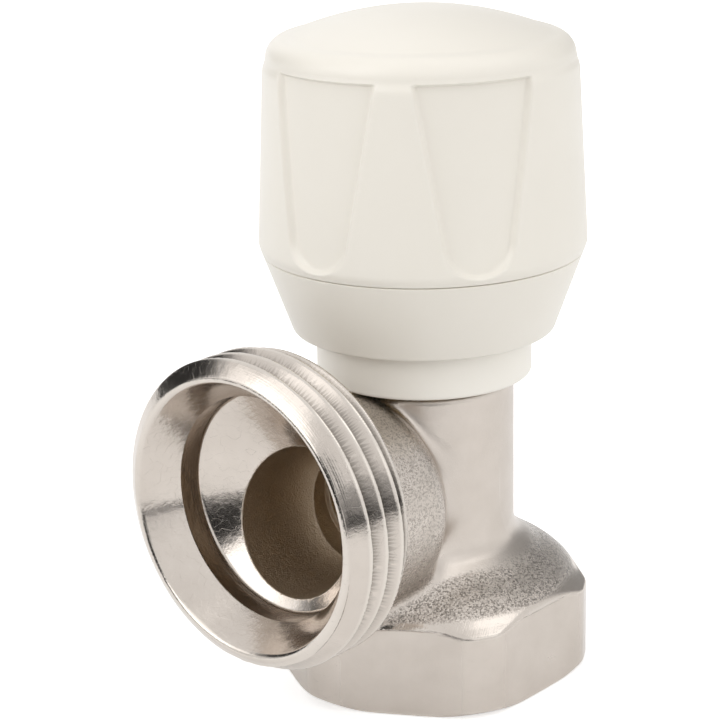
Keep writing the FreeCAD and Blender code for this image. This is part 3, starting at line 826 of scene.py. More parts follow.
@dataclass
class Forging:
    """The forged valve body, as a distance field about the spindle and the outlet."""

    hex_width: float = 32.8
    corner_radius: float = 17.9
    hex_height: float = 9.4
    corner_bevel: float = 1.55
    corner_slant: float = 1.2
    foot_radius: float = 16.65
    foot_chamfer: float = 0.75
    dome_ring: float = 10.489
    dome_height: float = 6.157
    dome_radius: float = 7.354
    dome_low: float = 10.1
    neck_radius: float = 9.75
    neck_height: float = 34.0
    neck_chamfer: float = 0.85
    forged_height: float = 22.2
    barrel_radius: float = 11.65
    barrel_back: float = 9.0
    throat_radius: float = 9.1
    outlet_height: float = 25.25
    outlet_reach: float = 29.85
    outlet_back: float = 21.05
    outlet_thread: PipeThread = field(default_factory=lambda: PipeThread(16.625, 2.309, 1.3, 0.74))
    web_back: float = 18.75
    web_radius: float = 8.6
    lip_radius: float = 14.495
    lip_land: float = 0.25
    lip_chamfer: float = 1.2
    cone_end: float = 25.85
    cone_radius: float = 11.995
    recess_end: float = 23.2
    drill_slope: float = 0.6
    passage_radius: float = 7.75
    passage_end: float = 10.5
    window_radius: float = 5.2
    window_height: float = 21.4
    rim_step: float = 0.7
    rim_floor: float = 10.2
    inlet_thread: PipeThread = field(default_factory=lambda: PipeThread(13.22, 1.814, 1.162))
    inlet_depth: float = 10.4
    seat_radius: float = 5.2
    seat_height: float = 16.1
    seat_ring: float = 6.55
    chamber_floor: float = 15.35
    chamber_radius: float = 7.1
    bonnet_radius: float = 7.85
    bonnet_bottom: float = 26.65
    inlet_runout: tuple[float, float] = (0.6, 2.2)
    inlet_mouth: float = 0.1
    seat_open: float = 0.5
    thread_lean: float = 0.6
    step: float = 0.2
    box_low: tuple[float, float, float] = (-18.6, -17.7, -0.7)
    box_high: tuple[float, float, float] = (30.6, 17.7, 42.6)
    triangles: int = 180000
    foot_round: float = 0.25
    sole_round: float = 0.15
    hex_round: float = 0.45
    dome_round: float = 0.3
    neck_round: float = 0.1
    rim_round: float = 0.3
    lip_round: float = 0.3
    dish_round: float = 0.3
    head_round: float = 0.4
    edge_round: float = 0.45
    root_round: float = 1.2
    barrel_round: float = 3.2
    valley_round: float = 2.6
    web_round: float = 3.3
    passage_round: float = 6.4
    sole_zone: tuple[float, float] = (0.35, 0.1)
    corner_zone: tuple[float, float] = (17.6, 17.8)
    corner_top: tuple[float, float] = (10.4, 10.0)
    cone_zone: tuple[float, float] = (15.9, 16.4)
    outlet_zone: tuple[float, float] = (21.0, 21.5)
    dome_zone: tuple[float, float] = (10.3, 10.7)
    barrel_zone: tuple[float, float] = (8.8, 9.8)
    barrel_blast: float = 0.6
    # Where the painted shade in the outlet thread's roots lies.
    root_shade_zone: tuple[float, float] = (0.5, 0.8)
    root_shade_back: tuple[float, float] = (0.2, 0.6)
    root_shade_front: tuple[float, float] = (1.2, 1.6)
    # Where the painted highlight on outer edges starts and where it is full.
    edge_highlight_zone: tuple[float, float] = (0.06, 0.2)

    def dress(self, material: bpy.types.Material) -> None:
        """Builds the forging and seats it on the valve."""
        seat_piece(self.build(), Body.VALVE, Slot.NICKEL, material, "valve_body")

    def corner_cone(self, x: Array, y: Array, z: Array) -> Array:
        """Distances to the turned chamfer on top of the hexagon's corners."""
        top = (self.hex_height + self.corner_slant, self.corner_radius - self.corner_bevel)
        return Line((self.hex_height, self.corner_radius), top).distance(z, np.hypot(x, y))

    def dome(self, x: Array, y: Array, z: Array) -> Array:
        """Distances to the shoulder's dome, whose centre runs round a ring."""
        aside = np.maximum(np.hypot(x, y) - self.dome_ring, 0.0)
        return np.hypot(aside, z - self.dome_height) - self.dome_radius

    def shoulder(self, x: Array, y: Array, z: Array) -> Array:
        """Foot and shoulder: a turned foot trimmed by a hexagon, under a dome with its centre on a ring.

        Args:
            x: coordinates towards the outlet.
            y: coordinates across.
            z: heights.

        Returns:
            Distances.
        """
        radius = np.hypot(x, y)
        foot = trim(radius - self.corner_radius, self.corner_cone(x, y, z), self.foot_round)
        lower = Line((0.0, self.foot_radius), (self.foot_chamfer, self.corner_radius)).distance(z, radius)
        foot = trim(trim(foot, lower, self.foot_round), -z, self.sole_round)
        turn = np.radians((30.0, 90.0, 150.0))
        flats = np.max([np.abs(x * math.cos(a) + y * math.sin(a)) for a in turn], axis=0) - self.hex_width / 2
        foot = trim(foot, flats, self.hex_round)
        return blend(foot, np.maximum(self.dome(x, y, z), self.dome_low - z), self.dome_round)

    def neck(self, x: Array, y: Array, z: Array) -> Array:
        """Neck: a cylinder about the spindle with a chamfer at its top.

        Args:
            x: coordinates towards the outlet.
            y: coordinates across.
            z: heights.

        Returns:
            Distances.
        """
        radius = np.hypot(x, y)
        neck = trim(radius - self.neck_radius, z - self.neck_height, self.neck_round)
        rim = Line((self.neck_height - self.neck_chamfer, self.neck_radius),
                   (self.neck_height, self.neck_radius - self.neck_chamfer)).distance(z, radius)
        return trim(neck, rim, self.rim_round)

    def side(self, x: Array, y: Array, z: Array) -> Array:
        """Throat and barrel of the outlet: two cylinders about the forged axis, with a valley between them.

        Args:
            x: coordinates towards the outlet.
            y: coordinates across.
            z: heights.

        Returns:
            Distances.
        """
        radius = np.hypot(y, z - self.forged_height)
        barrel = trim(radius - self.barrel_radius, self.barrel_back - x, self.barrel_round)
        throat = np.maximum(radius - self.throat_radius, -x)
        return np.maximum(blend(barrel, throat, self.valley_round), x - self.cone_end)

    def head(self, x: Array, y: Array, z: Array) -> Array:
        """Turned outlet: web, thread and lip about the outlet's axis.

        Args:
            x: coordinates along the outlet.
            y: coordinates across.
            z: heights.

        Returns:
            Distances.
        """
        level = z - self.outlet_height
        radius = np.hypot(y, level)
        thread = self.outlet_thread
        root = (self.outlet_back, thread.major - thread.depth)
        back = Line(root, (self.outlet_back + thread.depth, thread.major)).distance(x, radius)
        web = Line((self.web_back, self.web_radius), root).distance(x, radius)
        lip = Line((self.outlet_reach - self.lip_chamfer, thread.major),
                   (self.outlet_reach, self.lip_radius + self.lip_land)).distance(x, radius)
        groove = (radius - thread.major + thread.depth_at(x, np.arctan2(level, y))) * self.thread_lean
        front = trim(lip, x - self.outlet_reach, self.lip_round)
        blank = trim(trim(back, web, self.lip_round), front, self.lip_round)
        return np.maximum(trim(blank, groove, self.lip_round), self.web_back - x)

    def seat_cut(self, x: Array, y: Array, z: Array) -> Array:
        """Cone seat, recess and dished floor that are turned into the outlet.

        Args:
            x: coordinates along the outlet.
            y: coordinates across.
            z: heights.

        Returns:
            Distances to what is cut away.
        """
        radius = np.hypot(y, z - self.outlet_height)
        lip = (self.outlet_reach, self.lip_radius)
        cone = Line((self.cone_end, self.cone_radius), lip).distance(x, radius)
        dish = Line((self.recess_end - self.drill_slope * self.cone_radius, 0.0),
                    (self.recess_end, self.cone_radius)).distance(x, radius)
        dish = trim(radius - self.cone_radius, dish, self.dish_round)
        return np.minimum(np.maximum(cone, self.cone_end - x), dish)

    def passage_cut(self, x: Array, y: Array, z: Array) -> Array:
        """Forged passage, with the opening to the chamber.

        Args:
            x: coordinates along the outlet.
            y: coordinates across.
            z: heights.

        Returns:
            Distances to what is cut away.
        """
        wall = np.hypot(y, z - self.forged_height) - self.passage_radius
        passage = trim(wall, self.passage_end - x, self.passage_round)
        reach = np.hypot(y, z - self.window_height) - self.window_radius
        window = np.maximum(reach, -x)
        rim = np.maximum(reach - self.rim_step, self.rim_floor - x)
        return np.maximum(np.minimum(passage, np.minimum(window, rim)), x - self.cone_end)

    def bore_cut(self, x: Array, y: Array, z: Array) -> Array:
        """Threaded inlet, seat, chamber and bonnet thread, about the spindle.

        Args:
            x: coordinates towards the outlet.
            y: coordinates across.
            z: heights.

        Returns:
            Distances to what is cut away.
        """
        radius = np.hypot(x, y)
        thread = self.inlet_thread
        minor = thread.major - thread.depth
        depth = thread.depth_at(z, np.arctan2(y, x))
        end, start = (self.inlet_depth - runout for runout in self.inlet_runout)
        wall = minor + (thread.depth - depth) * ramp(end, start, z)
        wall = np.maximum(wall, thread.major + self.inlet_mouth - np.maximum(z, 0.0))
        roof = z - self.inlet_depth - self.drill_slope * (minor - radius)
        inlet = np.maximum((radius - wall) * self.thread_lean, roof / math.hypot(1.0, self.drill_slope))
        seat = np.maximum(radius - self.seat_radius, z - self.seat_height - self.seat_open)
        ring = np.maximum(radius - self.seat_ring, z - self.seat_height)
        chamber = np.maximum(np.maximum(radius - self.chamber_radius, self.chamber_floor - z), -ring)
        bonnet = np.maximum(radius - self.bonnet_radius, self.bonnet_bottom - z)
        return np.minimum(np.minimum(inlet, seat), np.minimum(chamber, bonnet))

    def distance(self, points: Array) -> Array:
        """Distances to the whole forging, with its bores cut out.

        Args:
            points: places as rows of three coordinates.

        Returns:
            Distances, negative inside the metal.
        """
        x, y, z = points[..., 0], points[..., 1], points[..., 2]
        solid = blend(self.shoulder(x, y, z), self.side(x, y, z), self.web_round)
        solid = blend(solid, self.neck(x, y, z), self.root_round)
        solid = blend(solid, self.head(x, y, z), self.head_round)
        hollow = np.minimum(self.seat_cut(x, y, z), self.passage_cut(x, y, z))
        return trim(solid, -np.minimum(hollow, self.bore_cut(x, y, z)), self.edge_round)

    def slope(self, points: Array, reach: float = 0.03) -> Array:
        """Gradient of the field by central differences.

        Args:
            points: places.
            reach: half the distance over which it is taken.

        Returns:
            Gradients as rows.
        """
        rises = [self.distance(points + step) - self.distance(points - step) for step in np.eye(3) * reach]
        return np.stack(rises, axis=-1) / (2 * reach)

    def settle(self, points: Array, rounds: int) -> Array:
        """Moves points on to the surface by Newton steps along the gradient.

        Args:
            points: places near the surface.
            rounds: number of steps.

        Returns:
            Places on the surface.
        """
        for _ in range(rounds):
            slope = self.slope(points)
            size = np.maximum(np.sum(slope * slope, axis=-1, keepdims=True), 0.1)
            move = self.distance(points)[:, None] * slope / size
            points = points - np.clip(move, -self.step, self.step)
        return points

    def sampled(self) -> Surface:
        """The field's surface on a regular grid, worked out slab by slab.

        Returns:
            The surface.
        """
        axes = [np.arange(start, end, self.step) for start, end in zip(self.box_low, self.box_high)]
        plane = np.stack(np.meshgrid(axes[1], axes[2], indexing="ij"), axis=-1)
        values = np.empty([len(axis) for axis in axes], dtype=np.float32)
        for row, across in enumerate(axes[0]):
            slab = np.concatenate([np.full(plane.shape[:2] + (1,), across), plane], axis=-1)
            values[row] = self.distance(slab)
        return contour(values, np.array(self.box_low), self.step)

    def build(self) -> bpy.types.Object:
        """The forging's mesh: sampled, thinned, settled on the field and given its normals and zones.

        Returns:
            The object.
        """
        surface = self.sampled()
        surface.points = self.settle(surface.points, 2)
        rough = surface.to_object("valve_body_rough", crease=None)
        thinner = rough.modifiers.new("thin", "DECIMATE")
        thinner.ratio = min(1.0, self.triangles / (2 * len(surface.faces)))
        rough.modifiers.new("triangles", "TRIANGULATE")
        mesh = bpy.data.meshes.new_from_object(rough.evaluated_get(bpy.context.evaluated_depsgraph_get()))
        bpy.data.objects.remove(rough)
        mesh.name = "forged_valve_body"
        obj = bpy.data.objects.new("forged_valve_body", mesh)
        bpy.context.scene.collection.objects.link(obj)

        points = np.empty(len(mesh.vertices) * 3, dtype=np.float32)
        mesh.vertices.foreach_get("co", points)
        points = self.settle(points.reshape(-1, 3).astype(float) / MM, 2)
        mesh.vertices.foreach_set("co", (points * MM).astype(np.float32).ravel())
        mesh.update()
        mesh.polygons.foreach_set("use_smooth", np.ones(len(mesh.polygons), dtype=bool))
        normals = self.slope(self.face_corners(mesh, points, self.step))
        size = np.linalg.norm(normals, axis=1, keepdims=True)
        mesh.normals_split_custom_set(normals / np.maximum(size, 1e-6))
        self.mark_zones(mesh, self.face_corners(mesh, points, 3 * self.step))
        return obj

    @staticmethod
    def face_corners(mesh: bpy.types.Mesh, points: Array, inset: float, most: float = 0.45) -> Array:
        """Places a little way in from each face corner towards the face's middle, so that what is read there
        belongs to the face and not to the edge beside it.

        Args:
            mesh: the forging's mesh of triangles.
            points: its points in millimetres.
            inset: the most that a place moves in.
            most: the greatest share of the way to the middle.

        Returns:
            Places, one row for each corner.
        """
        corners = np.empty(len(mesh.loops), dtype=np.int32)
        mesh.loops.foreach_get("vertex_index", corners)
        place = points[corners].reshape(-1, 3, 3)
        inward = place.mean(axis=1, keepdims=True) - place
        size = np.linalg.norm(inward, axis=2, keepdims=True)
        return (place + inward * np.minimum(most, inset / np.maximum(size, 1e-6))).reshape(-1, 3)

    def mark_zones(self, mesh: bpy.types.Mesh, points: Array) -> None:
        """Writes each zone's share at the face corners, as attributes of the mesh.

        Args:
            mesh: the forging's mesh.
            points: places of its face corners in millimetres.
        """
        x, y, z = points.T
        radius = np.hypot(x, y)
        seat, head, thread = self.seat_cut(x, y, z), near(self.head(x, y, z)), self.outlet_thread
        passage = near(self.passage_cut(x, y, z)) * ramp(-0.1, 0.05, seat)
        foot = ramp(*self.sole_zone, z) + ramp(*self.corner_zone, radius) * ramp(*self.corner_top, z)
        cone = near(self.corner_cone(x, y, z), 0.25, 0.08) * ramp(*self.cone_zone, radius)
        outlet = head * ramp(*self.outlet_zone, x)
        face = np.max([near(seat, 0.2), near(self.bore_cut(x, y, z)), outlet, foot, cone], axis=0)
        face = np.clip(face - passage, 0.0, 1.0)
        dome = near(self.dome(x, y, z), 1.1, 0.4) * ramp(*self.dome_zone, z)
        barrel = self.barrel_blast * near(self.side(x, y, z), 1.0, 0.4) * ramp(*self.barrel_zone, x)
        sunk = (thread.major - np.hypot(y, z - self.outlet_height)) / thread.depth
        # Painted shade in the outlet thread's roots, by depth below the crest.
        root = head * ramp(*self.root_shade_zone, sunk) * ramp(*self.root_shade_back, x - self.outlet_back)
        shares = {
            Zone.TURNED: face,
            Zone.BLASTED: np.clip(np.maximum(dome, barrel) - face - passage, 0.0, 1.0),
            Zone.PASSAGE: passage,
            Zone.ROOT: root * ramp(*self.root_shade_front, self.outlet_reach - x),
            # Painted highlight on outer edges.
            Zone.EDGE: self.outer_edge_share(points),
        }
        for zone, share in shares.items():
            layer = mesh.attributes.new(zone.value, "FLOAT", "CORNER")
            layer.data.foreach_set("value", share.astype(np.float32))

    def outer_edge_share(self, points: Array, reach: float = 0.5) -> Array:
        """Share of each point that lies on an outer edge, where the painted highlight goes: the mean field of the
        places round it, which is positive where there is less metal than air.

        Args:
            points: places on the surface.
            reach: distance of those places.

        Returns:
            Shares from 0 to 1.
        """
        around = [self.distance(points + sign * step) for step in np.eye(3) * reach for sign in (-1.0, 1.0)]
        return ramp(*self.edge_highlight_zone, np.mean(around, axis=0) / reach)


@dataclass
class Collar:
    """The moulded sleeve between the neck and the handwheel."""

    radius: float = 11.7
    inside: float = 10.55
    bottom: float = 34.0
    top: float = 46.35
    web_bottom: float = 40.7
    web_top: float = 41.85
    gland: float = 6.6
    edge: float = 0.45
    columns: int = 256

    def dress(self, material: bpy.types.Material) -> None:
        """Builds the collar and seats it on the valve."""
        seat_piece(self.build(), Body.VALVE, Slot.WHITE, material, "collar")

    def build(self) -> bpy.types.Object:
        """The sleeve with its web, turned from an outline with a round at each corner."""
        outline = rounded_outline([
            (self.gland, self.web_bottom, 0.1), (self.inside, self.web_bottom, 0.2),
            (self.inside, self.bottom, 0.15), (self.radius, self.bottom, self.edge),
            (self.radius, self.top, 0.2), (self.inside, self.top, 0.2),
            (self.inside, self.web_top, 0.2), (self.gland, self.web_top, 0.1),
        ])
        return turned(outline, self.columns).to_object("plastic_collar")


@dataclass
class Handwheel:
    """The two mouldings of the handwheel."""

    split: float = 47.7
    split_radius: float = 17.28
    wide_height: float = 48.65
    wide_radius: float = 17.625
    pad_top: float = 67.4
    pad_top_radius: float = 16.625
    band: float = 68.0
    band_radius: float = 16.375
    crown: float = 68.45
    crown_radius: float = 16.275
    crown_round: float = 2.2
    dome: float = 73.45
    floor_low: float = 16.975
    floor_high: float = 15.925
    scallop_low: float = 48.55
    scallop_turn: float = 3.4
    scallop_wide: float = 22.2
    scallop_narrow: float = 12.4
    scallop_edge: float = 0.5
    scallop_lean: float = 0.97
    scallops: tuple[float, ...] = (1.4, 59.8, 181.4, 239.8)
    wall: float = 1.7
    spigot: float = 14.825
    web_top: float = 50.3
    skirt_bottom: float = 38.7
    skirt_low: float = 39.15
    skirt_radius: float = 14.2
    mouth: float = 12.1
    mouth_lip: float = 0.5
    ring_bottom: float = 44.95
    ring_inside: float = 12.5
    carrier_web: float = 48.25
    carrier_spigot: float = 14.775
    hub_radius: float = 5.7
    hub_top: float = 57.8
    socket: float = 2.425
    columns: int = 720
    carrier_columns: int = 288
    joint_gap: float = 0.3
    ring_soft: float = 0.7

    def dress(self, material: bpy.types.Material) -> None:
        """Builds both mouldings and seats them on the handwheel."""
        seat_piece(self.build_cap(), Body.WHEEL, Slot.WHITE, material, "handwheel_cap")
        seat_piece(self.build_carrier(), Body.WHEEL, Slot.WHITE, material, "handwheel_carrier")

    def scallop_share(self, angle: Array, height: Array) -> Array:
        """How much of the scallops' depth is cut at a place: a soft step across a trapezium with a round lower
        end, on the unrolled wheel.

        Args:
            angle: directions in degrees.
            height: heights.

        Returns:
            Shares from 0 on the pads to 1 on the scallops' floor.
        """
        middle = np.array(self.scallops)[:, None, None]
        aside = np.abs((angle - middle + 180.0) % 360.0 - 180.0)
        level = self.scallop_low + self.scallop_turn
        rise = (height - level) / (self.band - level)
        widening = (self.scallop_wide - self.scallop_narrow) * np.maximum(rise, 0.0)
        across = np.radians(aside) * self.floor_low
        half = np.radians(self.scallop_narrow + widening) * self.floor_low
        side = (across - half) * self.scallop_lean
        end = math.radians(self.scallop_narrow) * self.floor_low
        below = np.maximum(level - height, 0.0) / self.scallop_turn
        bowl = (np.hypot(across / end, below) - 1.0) * self.scallop_turn
        distance = np.min(np.where(height >= level, side, bowl), axis=0)
        return ramp(self.scallop_edge * 0.5, -self.scallop_edge * 0.5, distance)

    def cap_rows(self) -> tuple[Array, Array, Array]:
        """Rows of the cap's skin, from the joint over the dome and back down the inside.

        The wall is straight between its named rings, and its rows lie closest where it bends. The mean of the
        rows round each row softens the rings. The crown is a quarter circle and the dome is part of a sphere.

        Returns:
            Height, radius of the pads and radius of the scallops' floor for each row.
        """
        wall = np.concatenate([[self.split], np.linspace(self.split + 0.12, self.wide_height + 0.4, 12),
                               np.linspace(self.wide_height + 0.7, self.pad_top - 0.3, 54),
                               np.linspace(self.pad_top, self.band + 0.25, 9),
                               np.linspace(self.band + 0.55, self.crown, 4)])
        around = wall + np.linspace(-0.5, 0.5, 15)[:, None] * self.ring_soft
        levels = [self.split, self.wide_height, self.pad_top, self.band, self.crown]
        radii = [self.split_radius, self.wide_radius, self.pad_top_radius, self.band_radius, self.crown_radius]
        pads = np.interp(around, levels, radii).mean(axis=0)
        pads[0] = self.split_radius - self.joint_gap
        levels = [self.split, self.scallop_low, self.band - 0.15, self.band + 0.1, self.crown]
        radii = [self.split_radius, self.floor_low, self.floor_high, self.band_radius, self.crown_radius]
        floor = np.interp(wall, levels, radii)
        turn = np.linspace(0.0, 0.5 * math.pi, 9)[1:]
        crown_z = self.crown + self.crown_round * np.sin(turn)
        crown_r = self.crown_radius - self.crown_round * (1.0 - np.cos(turn))
        reach = np.linspace(1.0, 0.0, 26)[1:]
        rise, base = self.dome - crown_z[-1], crown_r[-1]
        sphere = (base * base + rise * rise) / (2 * rise)
        dome_z = self.dome - sphere + np.sqrt(sphere**2 - (base * reach) ** 2)
        roof, inside = self.crown - self.wall, self.crown_radius - self.wall
        inner = np.array([(self.dome - self.wall, 0.0), (roof + 0.6, inside - 2.0), (roof, inside),
                          (self.web_top, self.spigot), (self.web_top, self.spigot), (self.split, self.spigot)])
        height = np.concatenate([wall, crown_z, dome_z, inner[:, 0]])
        shared = np.concatenate([crown_r, base * reach, inner[:, 1]])
        return height, np.concatenate([pads, shared]), np.concatenate([floor, shared])

    def build_cap(self) -> bpy.types.Object:
        """Upper moulding: the pads and the scallops' floors are two turned skins, and the scallops' share goes
        from one to the other.

        Returns:
            The object.
        """
        height, pads, floor = self.cap_rows()
        angle = np.arange(self.columns) * (360.0 / self.columns)
        share = self.scallop_share(angle[None, None, :], height[None, :, None])
        radius = pads[:, None] - np.maximum(pads - floor, 0.0)[:, None] * share
        return wrapped(radius, height, np.radians(angle)).to_object("handwheel_top", crease=50.0)

    def build_carrier(self) -> bpy.types.Object:
        """Lower moulding: skirt, web and hub, turned from an outline with a round at each corner, with the
        hub's bore drawn out to a square.

        Returns:
            The object.
        """
        slope = (self.wide_radius - self.skirt_radius) / (self.wide_height - self.skirt_low)
        inner = self.wide_radius - self.wall - slope * (self.wide_height - self.ring_bottom)
        outline = rounded_outline([
            (self.socket, self.carrier_web, 0.05), (self.ring_inside, self.carrier_web, 0.3),
            (self.ring_inside, self.ring_bottom, 0.2), (inner, self.ring_bottom, 0.2),
            (self.mouth, self.skirt_low + 0.45, 0.1), (self.mouth, self.skirt_bottom, 0.15),
            (self.mouth + self.mouth_lip, self.skirt_bottom, 0.2), (self.skirt_radius, self.skirt_low, 0.25),
            (self.split_radius, self.split, 0.22), (self.carrier_spigot, self.split, 0.2),
            (self.carrier_spigot, self.web_top - 0.15, 0.2), (self.hub_radius, self.web_top - 0.15, 0.4),
            (self.hub_radius, self.hub_top, 0.3), (self.socket, self.hub_top, 0.05),
        ])
        surface = turned(outline, self.carrier_columns)
        reach = np.hypot(surface.points[:, 0], surface.points[:, 1])
        direction = np.arctan2(surface.points[:, 1], surface.points[:, 0])
        square = 1.0 / np.maximum(np.abs(np.cos(direction)), np.abs(np.sin(direction)))
        scale = np.where(reach < self.socket + 0.2, square, 1.0)[:, None]
        surface.points = surface.points * np.concatenate([scale, scale, np.ones_like(scale)], axis=1)
        return surface.to_object("handwheel_skirt")


@dataclass(frozen=True)
class SoftBox:
    """A rectangular soft lamp by its direction, its reach and size in metres, and its power in watts."""

    name: str
    azimuth: float
    elevation: float
    reach: float
    width: float
    height: float
    power: float


@dataclass(frozen=True)
class Card:
    """A round patch of the room that is brighter or darker than the rest, by its direction and half its width."""

    azimuth: float
    elevation: float
    spread: float
    level: float


@dataclass
class Studio:
    """Floor, world, lamps and the camera at the photograph's angle."""

    azimuth: float = 130.24
    elevation: float = 17.34
    distance: float = 236.805
    aim_height: float = 35.997
    yaw: float = 1.78
    pitch: float = 0.24
    roll: float = -1.26
    lens: float = 108.486
    sensor: float = 36.0
    lamp_aim: float = 35.0
    lamps: tuple[SoftBox, ...] = (
        SoftBox("key_softbox", 64.0, 29.0, 0.60, 0.50, 0.30, 0.26),
        SoftBox("fill_softbox", 172.0, 26.0, 0.60, 0.35, 0.22, 0.08),
    )
    room: float = 1.05
    cards: tuple[Card, ...] = (
        Card(88.0, 0.0, 16.0, 0.03), Card(108.0, 3.0, 20.0, 0.03), Card(10.0, 10.0, 24.0, 0.04),
        Card(140.0, 2.0, 12.0, 0.4), Card(276.0, 27.0, 30.0, 0.40), Card(204.0, 55.0, 14.0, 1.8),
        Card(70.0, 31.0, 15.0, 2.2), Card(87.0, 26.0, 13.0, 2.4), Card(80.0, 52.0, 16.0, 1.7),
    )
    card_edge: tuple[float, float] = (0.75, 1.25)
    floor_half: float = 1500.0
    floor_level: float = -0.02
    floor_grey: float = 0.85
    floor_seen: float = 0.5
    floor_mirrored: float = 0.27
    table_side: float = 105.0
    table_edge: float = 165.0
    beyond_table: float = 0.03

    @staticmethod
    def away(azimuth: float, elevation: float) -> Array:
        """Direction from the object to a camera or lamp at these angles."""
        a, e = math.radians(azimuth), math.radians(elevation)
        return np.array([math.sin(a) * math.cos(e), -math.cos(a) * math.cos(e), math.sin(e)])

    @staticmethod
    def place(name: str, data: bpy.types.ID, right: Array, back: Array, spot: Array) -> bpy.types.Object:
        """Puts a camera or a lamp into the scene.

        Args:
            name: object name.
            data: the camera or the lamp.
            right: direction of its right hand.
            back: direction that it turns its back to.
            spot: its place in metres.

        Returns:
            The object.
        """
        obj = bpy.data.objects.new(name, data)
        matrix = np.eye(4)
        matrix[:3, 0], matrix[:3, 1], matrix[:3, 2], matrix[:3, 3] = right, np.cross(back, right), back, spot
        obj.matrix_world = Matrix(matrix.tolist())
        bpy.context.scene.collection.objects.link(obj)
        return obj

    def place_camera(self) -> None:
        """Sets the camera by its place round the spindle and by the small turns that frame the picture."""
        spot = np.array([0.0, 0.0, self.aim_height]) + self.away(self.azimuth, self.elevation) * self.distance
        back = self.away(self.azimuth + self.yaw, self.elevation + self.pitch)
        right = self.away(self.azimuth + self.yaw + 90.0, 0.0)
        roll = math.radians(self.roll)
        right = math.cos(roll) * right + math.sin(roll) * np.cross(back, right)
        camera = bpy.data.cameras.new("photo_camera")
        camera.lens, camera.sensor_width, camera.sensor_fit = self.lens, self.sensor, "HORIZONTAL"
        camera.clip_start = 0.01
        bpy.context.scene.camera = self.place("photo_camera", camera, right, back, spot * MM)

    def light(self) -> None:
        """Soft lamps at both sides, and a pale room with the brighter and darker cards that the metal mirrors.

        A card's share of the room falls from 1 to 0 across its edge, by the angle from the card's middle.
        """
        for lamp in self.lamps:
            data = bpy.data.lights.new(lamp.name, "AREA")
            data.shape, data.size, data.size_y, data.energy = "RECTANGLE", lamp.width, lamp.height, lamp.power
            back = self.away(lamp.azimuth, lamp.elevation)
            spot = back * lamp.reach + np.array([0.0, 0.0, self.lamp_aim * MM])
            self.place(lamp.name, data, self.away(lamp.azimuth + 90.0, 0.0), back, spot)
        world = bpy.data.worlds.new("studio_world")
        sheet = fresh_sheet(world)
        direction = sheet.add("TexCoord").outputs["Generated"]
        room: object = self.room
        for card in self.cards:
            toward = tuple(self.away(card.azimuth, card.elevation))
            facing = sheet.add("VectorMath", {0: direction, 1: toward}, operation="DOT_PRODUCT").outputs["Value"]
            inner, outer = (math.cos(math.radians(share * card.spread)) for share in self.card_edge)
            share = sheet.remap(facing, outer, inner)
            room = sheet.add("Mix", {"Factor": share, "A": room, "B": card.level}, data_type="FLOAT").outputs[0]
        strength = sheet.math("MAXIMUM", room, sheet.add("LightPath").outputs["Is Camera Ray"])
        plain = sheet.add("Background", {"Color": WHITE, "Strength": strength})
        sheet.add("OutputWorld", {"Surface": plain.outputs[0]})
        bpy.context.scene.world = world

    def lay_floor(self) -> None:
        """A wide pale floor that stays white to the camera and still takes the object's shadow.

        Metal mirrors it as a table: beyond the table's front edge it mirrors a dark room.
        """
        ring = np.array([(-1.0, -1.0), (1.0, -1.0), (1.0, 1.0), (-1.0, 1.0)]) * self.floor_half
        points = np.column_stack([ring, np.full(len(ring), self.floor_level)])
        floor = Surface(points, np.array([[0, 1, 2, 3]])).to_object("studio_floor")
        material = bpy.data.materials.new("studio_floor")
        sheet = fresh_sheet(material)
        path = sheet.add("LightPath").outputs
        mirrored = sheet.math("MAXIMUM", path["Is Glossy Ray"], path["Is Transmission Ray"])
        glow = sheet.math("MAXIMUM", sheet.scaled(path["Is Camera Ray"], self.floor_seen),
                          sheet.scaled(mirrored, self.floor_mirrored))
        matt = sheet.add("BsdfDiffuse", {"Color": (self.floor_grey,) * 3 + (1.0,)})
        bright = sheet.add("Emission", {"Color": WHITE, "Strength": glow})
        table = sheet.add("AddShader", {0: matt.outputs[0], 1: bright.outputs[0]})
        spot = sheet.add("TexCoord").outputs["Object"]
        toward = tuple(self.away(self.table_side, 0.0))
        along = sheet.add("VectorMath", {0: spot, 1: toward}, operation="DOT_PRODUCT").outputs["Value"]
        beyond = sheet.math("MULTIPLY", sheet.math("GREATER_THAN", along, self.table_edge * MM), mirrored)
        dark = sheet.add("Emission", {"Color": WHITE, "Strength": self.beyond_table})
        seen = sheet.add("MixShader", {0: beyond, 1: table.outputs[0], 2: dark.outputs[0]})
        sheet.add("OutputMaterial", {"Surface": seen.outputs[0]})
        floor.data.materials.append(material)

    def build(self) -> None:
        """Builds the whole studio."""
        self.place_camera()
        self.light()
        self.lay_floor()
        bpy.context.scene.view_settings.view_transform = "Standard"


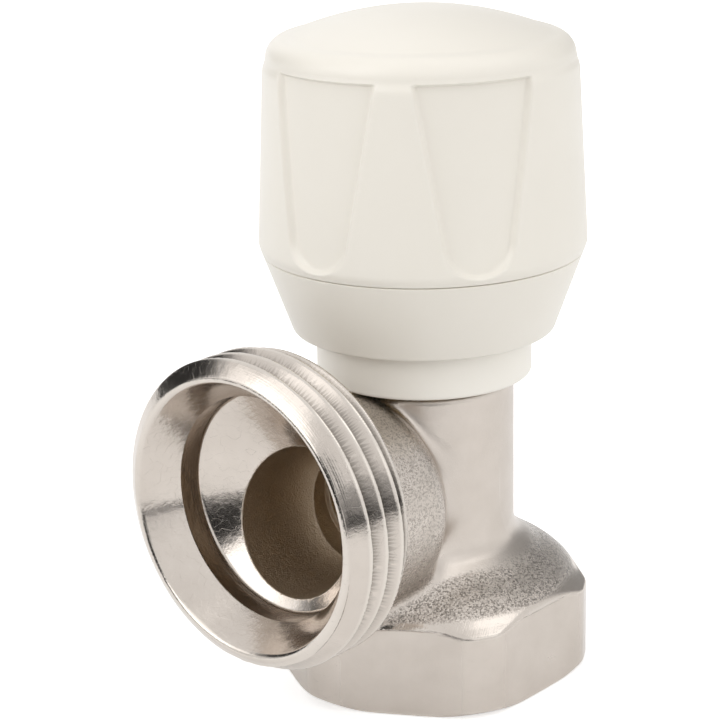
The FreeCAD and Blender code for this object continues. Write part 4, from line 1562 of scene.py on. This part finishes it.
def main() -> None:
    """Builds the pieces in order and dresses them."""
    logging.basicConfig(level=logging.INFO, format="%(name)s: %(message)s")
    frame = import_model()
    dresser = Dresser(Effects())
    nickel = NickelFinish().build(dresser)
    wheel_white = PlasticFinish("wheel_plastic", (0.83, 0.79, 0.715), (0.80, 0.76, 0.68)).build(dresser)
    # The collar's plastic is rougher than the wheel's. Its colour is whiter to paint light into the shade under
    # the handwheel's skirt.
    collar_white_brightened = PlasticFinish("collar_plastic_brightened", (0.90, 0.865, 0.795), (0.88, 0.84, 0.765), 0.4)
    brass = TurnedFinish("turned_brass", (0.78, 0.60, 0.33), (0.62, 0.45, 0.22), 0.28).build(dresser)
    zinc = TurnedFinish("zinc_plate", (0.66, 0.66, 0.67), (0.48, 0.48, 0.50), 0.32).build(dresser)
    rubber = SealFinish("black_rubber", (0.022, 0.022, 0.022), (0.04, 0.04, 0.042)).build(dresser)
    fibre = SealFinish("gasket_fibre", (0.14, 0.17, 0.14), (0.22, 0.24, 0.20)).build(dresser)

    Forging().dress(nickel)
    Collar().dress(collar_white_brightened.build(dresser))
    Handwheel().dress(wheel_white)
    kept = {"bonnet": brass, "spindle": brass, "plug": brass, "plug_washer": brass, "plug_clip": zinc,
            "handwheel_screw": zinc, "stem_ring_lower": rubber, "stem_ring_upper": rubber,
            "plug_gasket": rubber, "bonnet_gasket": fibre}
    for name, material in kept.items():
        dress_node(frame["nodes"][name], material)
    Studio().build()


if __name__ == "__main__":
    main()
